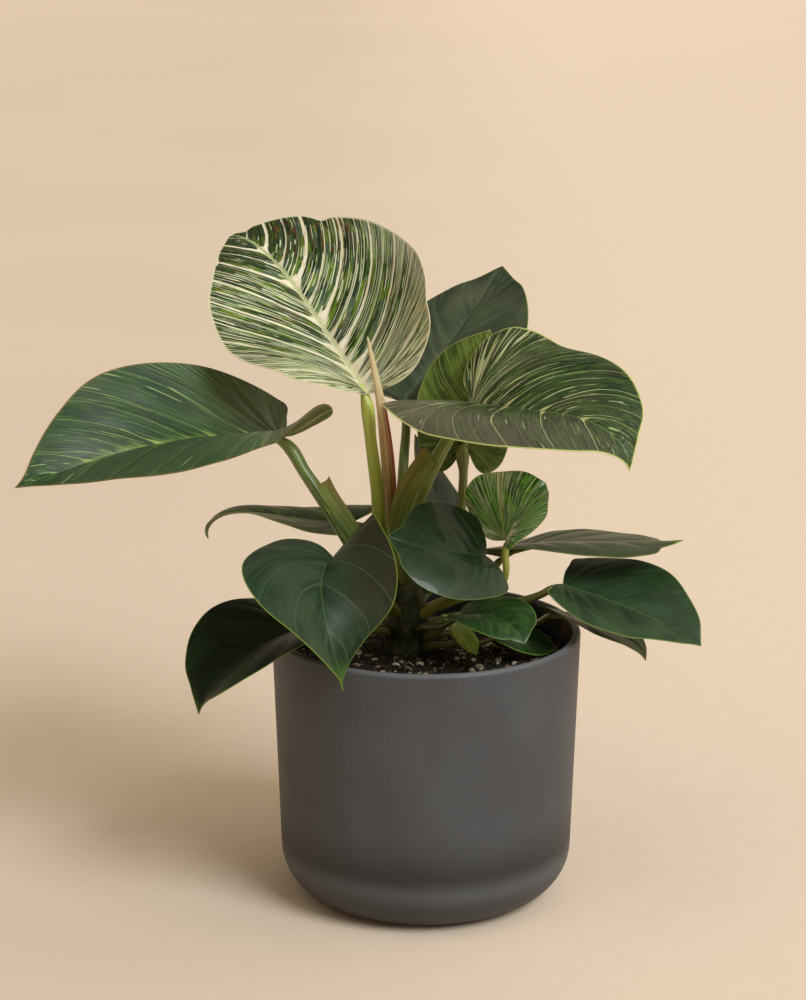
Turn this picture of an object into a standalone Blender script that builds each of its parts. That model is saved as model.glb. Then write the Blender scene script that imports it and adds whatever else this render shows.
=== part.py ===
# Potted philodendron birkin: a round tapered pot with soil, a root stock, seventeen
# leaf blades on their stalks, one rolled new leaf, two sheaths and a dry curled stalk.
# Units are metres, +Z is up, the flat base of the pot stands on Z = 0 and the pot's
# axis is the Z axis. Tables below are in millimetres and degrees and are scaled by MM.
import bpy
import math
import numpy as np

for old in list(bpy.data.objects):
    bpy.data.objects.remove(old, do_unlink=True)

MM = 0.001

PLANT = bpy.data.collections.new("potted_philodendron_birkin")
CUTTERS = bpy.data.collections.new("cutters")
bpy.context.scene.collection.children.link(PLANT)
bpy.context.scene.collection.children.link(CUTTERS)

# ---- pot -------------------------------------------------------------------
POT_HEIGHT = 125.0          # base to the top of the lip
POT_RIM_R = 70.0            # outer radius at the lip
POT_TAPER = 0.0345          # radius lost per millimetre below the lip
POT_CORNER_R = 24.0         # rounding between wall and base
POT_WALL = 3.6
POT_FLOOR = 5.0
POT_STEPS = 48

# ---- soil and root stock ---------------------------------------------------
SOIL_TOP = 114.0
SOIL_EDGE_DROP = 0.8
GAP = 0.35                  # clearance kept between neighbouring pieces
STOCK_R = 10.0
STOCK_X, STOCK_Y = -9.0, 1.0
STOCK_BOTTOM, STOCK_TOP = 100.0, 150.0

LEAF_T = 0.6                # blade thickness

# ---- leaf blades -----------------------------------------------------------
# base      where the stalk meets the blade
# length    base to tip along the midrib
# half      greatest width left and right of the midrib
# lobe      length of the two back lobes as a share of the length, or of the left and right one
# widest    place of the greatest width as a share of the length
# point     0 blunt tip .. 1 drawn-out tip
# heading   compass direction of the midrib at the base (0 = +X, 90 = +Y) and its turn
# rise      elevation of the midrib at the base, its change, and its bend
# tip_drop  extra bend of the last bit of the midrib
# roll      turn about the midrib at base and tip
# fold_l/r  how far each half is lifted, at base and tip
# cup       curl of each half towards its margin, left and right
# lobe_lift bend of the back lobes
# lobe_fold how much further the left and right back lobes are folded up
LEAVES = {
    "top": dict(base=(-27.5, 0, 235), length=126, half=(53.5, 56.5), lobe=0.13, widest=0.33, point=0.2,
                heading=(114, 22), rise=(19, 54, -47), tip_drop=-32, roll=(-3, -12),
                fold_l=(41, 3), fold_r=(42, 8), cup=(-45, 34), lobe_lift=-7),
    "high_left": dict(base=(-65, -5, 215.5), length=126, half=(47, 45.5), lobe=(0.17, 0.03), widest=0.27, point=1.0,
                      heading=(185, 39), rise=(4, -22, 1), tip_drop=12, roll=(8, -38),
                      fold_l=(18, 36), fold_r=(6, 34), cup=(-34, 35), lobe_lift=0, lobe_fold=(26, 0)),
    "high_right": dict(base=(20.5, -8, 231), length=106, half=(45, 52), lobe=0.17, widest=0.32, point=1.1,
                       heading=(-56, 17), rise=(6, 3, -9), tip_drop=-96, roll=(19, 9),
                       fold_l=(40, -2), fold_r=(30, -2), cup=(-17, -15), lobe_lift=5),
    "high_back": dict(base=(-9.5, 43, 220.5), length=96, half=(34.5, 38), lobe=0.04, widest=0.35, point=0.5,
                      heading=(49, 12), rise=(34, -6, 5), tip_drop=-4, roll=(22, -10),
                      fold_l=(11, 8), fold_r=(10, 8), cup=(-22, -15), lobe_lift=0),
    "erect": dict(base=(18, 24, 206), length=53, half=(22, 24), lobe=0.28, widest=0.33, point=0.6,
                  heading=(2, 0), rise=(86, -8, -10), tip_drop=-3, roll=(-86, -89),
                  fold_l=(4, 4), fold_r=(4, 4), cup=(-6, -6), lobe_lift=0),
    "low_back": dict(base=(14, 31, 154), length=56, half=(16.5, 16), lobe=0.03, widest=0.26, point=0.5,
                     heading=(136, 3), rise=(61, -2, 3), tip_drop=10, roll=(4, 9),
                     fold_l=(16, 10), fold_r=(15, 8), cup=(-17, -20), lobe_lift=0),
    "small_striped": dict(base=(35, -30, 175), length=31, half=(31.5, 18), lobe=0.12, widest=0.26, point=0.6,
                          heading=(26, 8), rise=(63, -20, -12), tip_drop=-10, roll=(-11, 33),
                          fold_l=(10, 25), fold_r=(13, 13), cup=(9, -18), lobe_lift=0),
    "centre": dict(base=(25.5, -31, 167.5), length=50, half=(24.5, 25), lobe=0.09, widest=0.44, point=0.4,
                   heading=(222, -35), rise=(14, 4, -6), tip_drop=21, roll=(-25, -22),
                   fold_l=(-2, -7), fold_r=(26, 25), cup=(-35, -2), lobe_lift=-1),
    "front": dict(base=(-41.5, -32, 166.5), length=71.5, half=(35.5, 36), lobe=0.12, widest=0.23, point=0.9,
                  heading=(-113, 73), rise=(-7, -76, 5), tip_drop=4, roll=(5, -40),
                  fold_l=(47, 0), fold_r=(26, 8), cup=(-9, -37), lobe_lift=1),
    "low_left": dict(base=(-53, -22, 132), length=67.5, half=(31, 39), lobe=0.13, widest=0.32, point=0.9,
                     heading=(217, -14), rise=(-1, -44, -13), tip_drop=-18, roll=(7, -3),
                     fold_l=(17, 18), fold_r=(16, 19), cup=(-20, -1), lobe_lift=0),
    "thin_left": dict(base=(-35.5, 27, 167.5), length=72.5, half=(19, 24), lobe=0.17, widest=0.30, point=0.6,
                      heading=(182, 0), rise=(1, 28, -20), tip_drop=-122, roll=(-15, 10),
                      fold_l=(12, 16), fold_r=(16, 15), cup=(-11, -58), lobe_lift=-4),
    "thin_right": dict(base=(35.5, 18, 154), length=83.5, half=(23, 24.5), lobe=0.08, widest=0.38, point=0.8,
                       heading=(-17, 15), rise=(24, -52, 19), tip_drop=23, roll=(-15, 0),
                       fold_l=(21, -6), fold_r=(24, -5), cup=(-5, -36), lobe_lift=-1),
    "low_right": dict(base=(61.5, -8, 147.5), length=68.5, half=(34.5, 26.5), lobe=0.04, widest=0.28, point=0.6,
                      heading=(-17, -11), rise=(-14, -1, -5), tip_drop=-13, roll=(0, 24),
                      fold_l=(13, 19), fold_r=(14, 15), cup=(-8, -31), lobe_lift=0),
    "tucked_right": dict(base=(58, -6, 133), length=48.5, half=(17, 18), lobe=0.13, widest=0.30, point=0.6,
                         heading=(-21, 1), rise=(-8, -5, -9), tip_drop=-63, roll=(-17, 8),
                         fold_l=(15, 10), fold_r=(20, 8), cup=(-20, -21), lobe_lift=0),
    "small_centre": dict(base=(16, -24, 138), length=38.5, half=(18.5, 17), lobe=0.10, widest=0.37, point=0.4,
                         heading=(-32, -20), rise=(17, -32, -27), tip_drop=-11, roll=(-1, 16),
                         fold_l=(18, 8), fold_r=(18, 6), cup=(-12, -22), lobe_lift=0),
    "small_light": dict(base=(11.5, -8, 131), length=22, half=(7, 7), lobe=0.13, widest=0.33, point=0.6,
                        heading=(-53, -1), rise=(-25, -23, 6), tip_drop=5, roll=(-22, 9),
                        fold_l=(13, 10), fold_r=(15, 9), cup=(-22, -21), lobe_lift=0),
    "soil_right": dict(base=(33.5, -12, 124.5), length=26.5, half=(10.5, 10.5), lobe=0.13, widest=0.35, point=0.6,
                       heading=(5, -4), rise=(-10, -9, -2), tip_drop=0, roll=(9, 26),
                       fold_l=(16, 13), fold_r=(15, 7), cup=(-15, -24), lobe_lift=0),
}
SMALL_LEAVES = ("small_light", "soil_right", "small_centre", "tucked_right", "low_back")

# ---- leaf stalks: radius at blade and at root stock, then way points ---------
STALKS = {
    "top": (2.5, 4.1, [(-25, -2, 213), (-22, 0, 190), (-20, 2, 168), (-17, 5, 155)]),
    "high_back": (1.9, 3.1, [(-9, 40, 211), (-10, 33, 196), (-11, 23, 179), (-11, 14, 163), (-10, 10, 155)]),
    "high_right": (2.5, 4.8, [(11, -8, 217), (1, -10, 199), (-7, -10, 180), (-11, -9, 165), (-11, -7, 156)]),
    "high_left": (2.7, 4.3, [(-54, -10, 200), (-43, -13, 184), (-33, -13, 168), (-24, -9, 153)]),
    "erect": (1.8, 2.6, [(17, 21, 204), (17, 19, 192), (16, 17, 176), (13, 12, 158), (6, 6, 147)]),
    "low_back": (1.0, 1.7, [(14, 30, 147), (10, 20, 143), (4, 13, 141)]),
    "thin_left": (1.6, 2.2, [(-29, 22, 160), (-20, 13, 149)]),
    "centre": (1.9, 2.4, [(23, -24, 155), (14, -15, 145), (4, -7, 137)]),
    "small_striped": (1.4, 2.1, [(35, -28, 159), (31, -15, 148), (19, -3, 141), (6, 1, 135)]),
    "thin_right": (1.6, 2.1, [(29, 17, 144), (17, 12, 138), (6, 8, 134)]),
    "front": (1.9, 2.9, [(-34, -24, 158), (-23, -14, 146), (-17, -10, 139)]),
    "low_left": (1.7, 2.5, [(-46, -18, 127), (-33, -12, 126), (-21, -6, 126)]),
    "low_right": (1.6, 2.3, [(51, -6, 142), (38, 0, 136), (22, 4, 130), (6, 3, 127)]),
    "tucked_right": (1.3, 1.8, [(50, 3, 126), (34, 10, 122), (16, 10, 120), (4, 7, 119)]),
    "small_centre": (1.2, 1.9, [(9, -21, 133), (1, -13, 129)]),
    "small_light": (1.0, 1.5, [(8, -8, 128), (4, -6, 124)]),
    "soil_right": (1.0, 1.5, [(26, -10, 121), (18, -9, 120), (6, -8, 119)]),
}

# ---- rolled new leaf, sheaths, dry stalk: way points with radius -------------
SPEAR = [(-26, -16.5, 262.5, 0.4), (-24, -14.5, 252, 1.2), (-20.6, -11.3, 233, 2.0), (-18, -7, 211, 2.9),
         (-16.5, -4, 193, 3.0), (-15.5, -3, 178, 2.5), (-14, -2, 166, 1.9), (-13, -1, 157, 1.7)]
SHEATH_HIGH_LEFT = [(-43.3, -13.5, 199, 0.3), (-41, -13.8, 193.5, 0.9), (-36, -14.5, 185, 1.0), (-30.5, -15, 175.5, 0.9)]
SHEATH_HIGH_RIGHT = [(-0.5, -9, 212, 0.3), (-4, -10, 206, 1.2), (-8, -11, 199, 1.9), (-12, -11.5, 190, 2.0), (-14.5, -12, 180, 1.3)]
DRY_STALK = [(60, 4, 130, 0.6), (62.5, 4, 127, 0.6), (62.7, 1, 123, 0.65), (60.5, -2, 119, 0.65), (57.5, -6, 115.6, 0.6)]


def material(name, color, rough):
    m = bpy.data.materials.new(name)
    m.use_nodes = True
    b = m.node_tree.nodes["Principled BSDF"]
    b.inputs["Base Color"].default_value = (color[0], color[1], color[2], 1.0)
    b.inputs["Roughness"].default_value = rough
    return m


def put(name, data, mat):
    ob = bpy.data.objects.new(name, data)
    PLANT.objects.link(ob)
    data.materials.append(mat)
    return ob


def ease(x):
    """Smooth step from 0 to 1."""
    x = np.clip(x, 0, 1)
    return x * x * (3 - 2 * x)


def smooth_path(points, knots, t):
    """Smooth curve through points, read at t (0..1 of the knots)."""
    n = len(points)
    k = knots
    m = np.zeros_like(points)
    for i in range(1, n - 1):
        a, b = k[i] - k[i - 1], k[i + 1] - k[i]
        m[i] = ((points[i] - points[i - 1]) / a * b + (points[i + 1] - points[i]) / b * a) / (a + b)
    m[0] = 2 * (points[1] - points[0]) / (k[1] - k[0]) - m[1]
    m[-1] = 2 * (points[-1] - points[-2]) / (k[-1] - k[-2]) - m[-2]
    i = np.clip(np.searchsorted(k, t, side="right") - 1, 0, n - 2)
    h = (k[i + 1] - k[i])[..., None]
    u = (t[..., None] - k[i][..., None]) / h
    return ((2 * u**3 - 3 * u**2 + 1) * points[i] + (u**3 - 2 * u**2 + u) * h * m[i]
            + (-2 * u**3 + 3 * u**2) * points[i + 1] + (u**3 - u**2) * h * m[i + 1])


def margin(w, lobe, widest, point):
    """Half of the heart-shaped outline: share of length, share of half width."""
    p = np.array([(-0.50 * lobe, 0.13), (-0.90 * lobe, 0.30), (-lobe, 0.50), (-0.62 * lobe, 0.80),
                  (0.45 * widest, 0.965), (widest, 1.0), (min(widest + 0.26, 0.68), 0.86), (min(widest + 0.46, 0.84), 0.56),
                  (0.885, 0.29 * (1.35 - 0.5 * point)), (0.955, 0.105 * (1.5 - point) + 0.02), (1.0, 0.0)])
    d = np.sqrt(np.linalg.norm(p[1:] - p[:-1], axis=1))
    k = np.concatenate([[0.0], np.cumsum(d)])
    return smooth_path(p, k / k[-1], w)


def blade_points(q, w, v):
    """Points of a blade, and where they lie on the flat leaf: w runs along the margin from
    the notch to the tip, v from -1 to 1 across."""
    length = q["length"]
    lobes = q["lobe"] if isinstance(q["lobe"], tuple) else (q["lobe"], q["lobe"])
    s = np.abs(v)
    left = v < 0
    edge = np.where(left[..., None], margin(w, lobes[0], q["widest"], q["point"]), margin(w, lobes[1], q["widest"], q["point"]))
    ref = margin(w, min(lobes), q["widest"], q["point"])
    half = np.where(left, q["half"][0], q["half"][1])
    px, py = edge[..., 0] * length, edge[..., 1] * half
    notch = 0.14 * min(lobes) * length
    wt = np.linspace(0, 1, 201)
    w0 = wt[np.argmax(margin(wt, min(lobes), q["widest"], q["point"])[:, 0] > 0.15)]
    g = (ref[..., 0] - 0.15) / 0.85
    qx = np.where(g > 0, np.abs(g) ** 1.4 * length, 0.0)
    qx = np.where(w < w0, -notch * (1 - w / w0), qx)
    dx, dy = px - qx, py
    turn = np.radians(25.0) * np.clip(1.2 - w, 0, 1) * ease(edge[..., 0] / 0.5)
    cx = qx + 0.52 * (dx * np.cos(turn) - dy * np.sin(turn))
    cy = 0.52 * (dx * np.sin(turn) + dy * np.cos(turn))
    x = (1 - s) ** 2 * qx + 2 * s * (1 - s) * cx + s * s * px
    y = 2 * s * (1 - s) * cy + s * s * py
    xs = np.linspace(-0.35, 1.0, 240)
    u = np.clip(xs, 0, 1)
    el = np.radians(q["rise"][0] + q["rise"][1] * u + q["rise"][2] * u * u + q["tip_drop"] * u**6
                    + q["lobe_lift"] * np.clip(-xs, 0, 1) / 0.2)
    az = np.radians(q["heading"][0] + q["heading"][1] * u)
    along = np.stack([np.cos(el) * np.cos(az), np.cos(el) * np.sin(az), np.sin(el)], -1)
    up = np.stack([-np.sin(el) * np.cos(az), -np.sin(el) * np.sin(az), np.cos(el)], -1)
    side = np.cross(along, up)
    step = (xs[1] - xs[0]) * length
    rib = np.concatenate([[np.zeros(3)], np.cumsum((along[1:] + along[:-1]) / 2 * step, 0)])
    at0 = np.array([np.interp(0, xs, rib[:, k]) for k in range(3)])
    rib = rib - at0 + np.array(q["base"], float)
    rr = np.radians(q["roll"][0] + (q["roll"][1] - q["roll"][0]) * u)[:, None]
    up2 = up * np.cos(rr) + side * np.sin(rr)
    side2 = side * np.cos(rr) - up * np.sin(rr)
    xl = x / length

    def read(a):
        return np.stack([np.interp(xl, xs, a[:, k]) for k in range(3)], -1)

    c, n, b = read(rib), read(up2), read(side2)
    n /= np.linalg.norm(n, axis=-1, keepdims=True)
    b /= np.linalg.norm(b, axis=-1, keepdims=True)
    f = np.clip(xl, 0, 1)
    fl = q["fold_l"][0] + (q["fold_l"][1] - q["fold_l"][0]) * f
    fr = q["fold_r"][0] + (q["fold_r"][1] - q["fold_r"][0]) * f
    if "lobe_fold" in q:
        back = ease((0.05 - xl) / 0.20)
        fl = fl + q["lobe_fold"][0] * back
        fr = fr + q["lobe_fold"][1] * back
    fold = np.radians(np.where(left, fl, fr))
    cup = np.radians(np.where(left, q["cup"][0], q["cup"][1])) * y / half
    mean = fold + cup / 2
    chord = y * np.sinc(cup / 2 / np.pi)
    sign = np.where(left, -1.0, 1.0)
    out = sign * chord * np.cos(mean)
    pts = c + b * out[..., None] + n * (chord * np.sin(mean))[..., None]
    slope = (fold + cup) * ease(y / (0.10 * half))
    face = n * np.cos(slope)[..., None] - b * (sign * np.sin(slope))[..., None]
    return pts, face, x, np.where(left, -y, y), qx


def blade(name, q, mat, nw, ns):
    """Closed blade: two faces half a thickness either side of the middle surface, joined by a rim."""
    vs = np.array([k / ns for k in range(-ns, ns + 1)])
    ws = np.linspace(0.02, 1, nw + 1)
    grid_w, grid_v = np.meshgrid(ws[:-1], vs, indexing="ij")
    pts, face, _, _, _ = blade_points(q, grid_w, grid_v)
    tip, tip_up, _, _, _ = blade_points(q, np.array([1.0]), np.array([0.0]))
    n, m = len(ws) - 1, len(vs)
    k = n * m
    half_t = LEAF_T / 2
    both = np.concatenate([(pts + face * half_t).reshape(-1, 3), (pts - face * half_t).reshape(-1, 3),
                           tip + tip_up * half_t * 0.6, tip - tip_up * half_t * 0.6])
    top_tip, low_tip = 2 * k, 2 * k + 1
    faces = []
    for i in range(n - 1):
        for j in range(m - 1):
            a, b, c, d = i * m + j, i * m + j + 1, (i + 1) * m + j + 1, (i + 1) * m + j
            faces += [(a, b, c), (a, c, d), (a + k, c + k, b + k), (a + k, d + k, c + k)]
        a, d = i * m, (i + 1) * m
        faces += [(a, d, d + k), (a, d + k, a + k)]
        a, d = i * m + m - 1, (i + 1) * m + m - 1
        faces += [(d, a, a + k), (d, a + k, d + k)]
    for j in range(m - 1):
        faces += [(j + 1, j, j + k), (j + 1, j + k, j + 1 + k)]
        a = (n - 1) * m + j
        faces += [(a, a + 1, top_tip), (a + 1 + k, a + k, low_tip)]
    a, b = (n - 1) * m, (n - 1) * m + m - 1
    faces += [(a, top_tip, low_tip), (a, low_tip, a + k), (top_tip, b, b + k), (top_tip, b + k, low_tip)]
    me = bpy.data.meshes.new(name)
    me.from_pydata((both * MM).tolist(), [], faces)
    me.update()
    me.shade_smooth()
    return put(name, me, mat)


def tube(name, pts, radii, mat, n, around=2):
    """Round tube through way points with a changing radius and closed ends."""
    p = np.array([tuple(a) + (r,) for a, r in zip(pts, radii)], float)
    k = np.concatenate([[0.0], np.cumsum(np.linalg.norm(p[1:, :3] - p[:-1, :3], axis=1))])
    path = smooth_path(p, k, np.linspace(0, k[-1], n))
    cu = bpy.data.curves.new(name, "CURVE")
    cu.dimensions = "3D"
    cu.bevel_depth = MM
    cu.bevel_resolution = around
    cu.use_fill_caps = True
    cu.render_resolution_u = 0
    cu.resolution_u = 1
    sp = cu.splines.new("POLY")
    sp.points.add(n - 1)
    for i, row in enumerate(path):
        sp.points[i].co = (float(row[0]) * MM, float(row[1]) * MM, float(row[2]) * MM, 1.0)
        sp.points[i].radius = max(float(row[3]), 0.15)
    return put(name, cu, mat)


def revolve(name, profile, steps, mat):
    """Closed profile of (radius, height) turned about the Z axis."""
    me = bpy.data.meshes.new(name)
    me.from_pydata([(r * MM, 0.0, z * MM) for r, z in profile], [(i, i + 1) for i in range(len(profile) - 1)], [])
    ob = put(name, me, mat)
    sc = ob.modifiers.new("turn", "SCREW")
    sc.axis = "Z"
    sc.angle = math.tau
    sc.steps = steps
    sc.render_steps = steps
    sc.use_merge_vertices = True
    sc.merge_threshold = 0.00002
    sc.use_normal_calculate = True
    sc.use_smooth_shade = True
    return ob


def arc(cx, cz, r, a0, a1, n):
    return [(cx + r * math.cos(math.radians(a0 + (a1 - a0) * i / n)),
             cz + r * math.sin(math.radians(a0 + (a1 - a0) * i / n))) for i in range(n + 1)]


# ---- pot ---------------------------------------------------------------------
M_POT = material("pot_charcoal", (0.045, 0.043, 0.040), 0.55)
lean = math.degrees(math.atan(POT_TAPER))


def pot_r(z):
    return POT_RIM_R - POT_TAPER * (POT_HEIGHT - z)


corner_cx = pot_r(POT_CORNER_R) - POT_CORNER_R
lip = POT_WALL / 2
inner_r = POT_CORNER_R - POT_WALL
outer = [(0.0, 0.0)] + arc(corner_cx, POT_CORNER_R, POT_CORNER_R, -90, -lean, 6)
outer += arc(pot_r(POT_HEIGHT) - lip, POT_HEIGHT - lip, lip, -lean, 180, 5)
outer += [(pot_r(POT_CORNER_R) - POT_WALL, POT_CORNER_R + 2)]
outer += arc(corner_cx, POT_FLOOR + inner_r, inner_r, -12, -90, 4)
outer += [(0.0, POT_FLOOR)]
revolve("pot", outer, POT_STEPS, M_POT)

# ---- soil with a socket for the root stock -------------------------------------
M_SOIL = material("soil_dark", (0.020, 0.014, 0.010), 0.95)
edge = pot_r(SOIL_TOP - SOIL_EDGE_DROP) - POT_WALL - GAP
low = pot_r(POT_CORNER_R) - POT_WALL - GAP
soil = [(0.0, POT_FLOOR + GAP)] + arc(corner_cx, POT_FLOOR + inner_r, inner_r - GAP, -90, -12, 4)
soil += [(low - 0.1, POT_CORNER_R + 2), (edge - 0.1, SOIL_TOP - SOIL_EDGE_DROP - 1.0), (edge - 1.2, SOIL_TOP - SOIL_EDGE_DROP),
         (45.0, SOIL_TOP - 0.3), (22.0, SOIL_TOP), (0.0, SOIL_TOP)]
ob_soil = revolve("soil", soil, 40, M_SOIL)
bpy.ops.mesh.primitive_cylinder_add(vertices=24, radius=(STOCK_R + GAP) * MM, depth=40 * MM,
                                    location=(STOCK_X * MM, STOCK_Y * MM, (STOCK_BOTTOM - GAP + 20) * MM))
cutter = bpy.context.object
cutter.name = "socket_cutter"
cutter.hide_render = True
cutter.display_type = "WIRE"
for coll in list(cutter.users_collection):
    coll.objects.unlink(cutter)
CUTTERS.objects.link(cutter)
cut = ob_soil.modifiers.new("socket", "BOOLEAN")
cut.operation = "DIFFERENCE"
cut.solver = "EXACT"
cut.object = cutter

# ---- root stock ------------------------------------------------------------------
M_STOCK = material("stock_green_brown", (0.060, 0.070, 0.025), 0.6)
tube("root_stock",
     [(STOCK_X, STOCK_Y, STOCK_BOTTOM), (STOCK_X, STOCK_Y, 118), (STOCK_X, STOCK_Y, 132),
      (STOCK_X - 1, STOCK_Y, 144), (STOCK_X - 1, STOCK_Y, STOCK_TOP - 2), (STOCK_X - 1, STOCK_Y, STOCK_TOP)],
     [STOCK_R - 0.8, STOCK_R - 0.5, STOCK_R - 0.6, STOCK_R - 1.4, STOCK_R - 3.0, STOCK_R - 6.0], M_STOCK, 14, around=4)

# ---- blades and stalks -------------------------------------------------------------
COLORS = {
    "top": (0.42, 0.47, 0.22), "small_striped": (0.20, 0.30, 0.09), "small_light": (0.15, 0.24, 0.05),
    "high_right": (0.10, 0.14, 0.055), "erect": (0.13, 0.18, 0.05),
}
for key, q in LEAVES.items():
    small = key in SMALL_LEAVES
    leaf_mat = material("blade_" + key, COLORS.get(key, (0.035, 0.065, 0.035)), 0.42)
    blade("leaf_" + key, q, leaf_mat, 9 if small else 13, 2 if small else 3)
    r_top, r_low, way = STALKS[key]
    start = np.array(q["base"], float)
    first = np.array(way[0], float) - start
    first = start + first / np.linalg.norm(first) * (1.6 + 0.5 * r_top)
    pts = [tuple(first)] + [tuple(float(c) for c in p) for p in way]
    run = np.concatenate([[0.0], np.cumsum([np.linalg.norm(np.subtract(pts[i + 1], pts[i])) for i in range(len(pts) - 1)])])
    radii = [r_top + (r_low - r_top) * t / run[-1] for t in run]
    radii[0] = 0.6 * r_top
    stalk_mat = material("stalk_" + key, (0.18, 0.24, 0.06), 0.45)
    tube("stalk_" + key, pts, radii, stalk_mat, 6 + 2 * len(way), around=2)

# ---- rolled new leaf, sheaths, dry stalk ----------------------------------------------
tube("new_leaf", [p[:3] for p in SPEAR], [p[3] for p in SPEAR], material("new_leaf_pink", (0.42, 0.25, 0.13), 0.5), 16)
tube("sheath_high_left", [p[:3] for p in SHEATH_HIGH_LEFT], [p[3] for p in SHEATH_HIGH_LEFT],
     material("sheath_red_left", (0.30, 0.11, 0.05), 0.6), 8)
tube("sheath_high_right", [p[:3] for p in SHEATH_HIGH_RIGHT], [p[3] for p in SHEATH_HIGH_RIGHT],
     material("sheath_red_right", (0.34, 0.17, 0.06), 0.6), 9)
tube("dry_stalk", [p[:3] for p in DRY_STALK], [p[3] for p in DRY_STALK], material("dry_brown", (0.16, 0.08, 0.035), 0.8), 10, around=1)
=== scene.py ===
# Looks of the potted philodendron birkin: detailed blades with their veins and stripes,
# stalks, rolled new leaf, sheaths, root stock, potting soil with perlite and bark, and a
# satin charcoal pot, on a plain pale floor under soft studio light.
# Lengths in the tables are millimetres and angles degrees; colours are 0-255 as seen.
import bpy
import math
import numpy as np
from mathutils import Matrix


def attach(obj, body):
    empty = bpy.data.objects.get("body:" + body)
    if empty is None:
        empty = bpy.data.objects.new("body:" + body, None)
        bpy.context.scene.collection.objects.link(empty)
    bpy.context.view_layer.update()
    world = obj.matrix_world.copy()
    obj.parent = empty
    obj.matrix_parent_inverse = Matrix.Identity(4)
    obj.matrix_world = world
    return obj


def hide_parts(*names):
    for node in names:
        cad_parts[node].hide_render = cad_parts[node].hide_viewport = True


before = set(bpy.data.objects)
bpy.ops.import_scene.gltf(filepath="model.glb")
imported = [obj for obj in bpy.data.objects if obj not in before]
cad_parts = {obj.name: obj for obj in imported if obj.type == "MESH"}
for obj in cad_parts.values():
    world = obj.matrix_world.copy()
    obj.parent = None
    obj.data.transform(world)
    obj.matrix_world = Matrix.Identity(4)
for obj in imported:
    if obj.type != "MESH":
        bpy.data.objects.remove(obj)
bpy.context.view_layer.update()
MM = 0.001

# ============================ dimensions shared with the CAD part ============================
POT_HEIGHT, POT_RIM_R, POT_TAPER, POT_CORNER_R = 125.0, 70.0, 0.0345, 24.0
POT_WALL, POT_FLOOR, SOIL_TOP, SOIL_EDGE_DROP, GAP = 3.6, 5.0, 114.0, 0.8, 0.35
STOCK_R, STOCK_X, STOCK_Y, STOCK_BOTTOM, STOCK_TOP = 10.0, -9.0, 1.0, 100.0, 150.0

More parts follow.
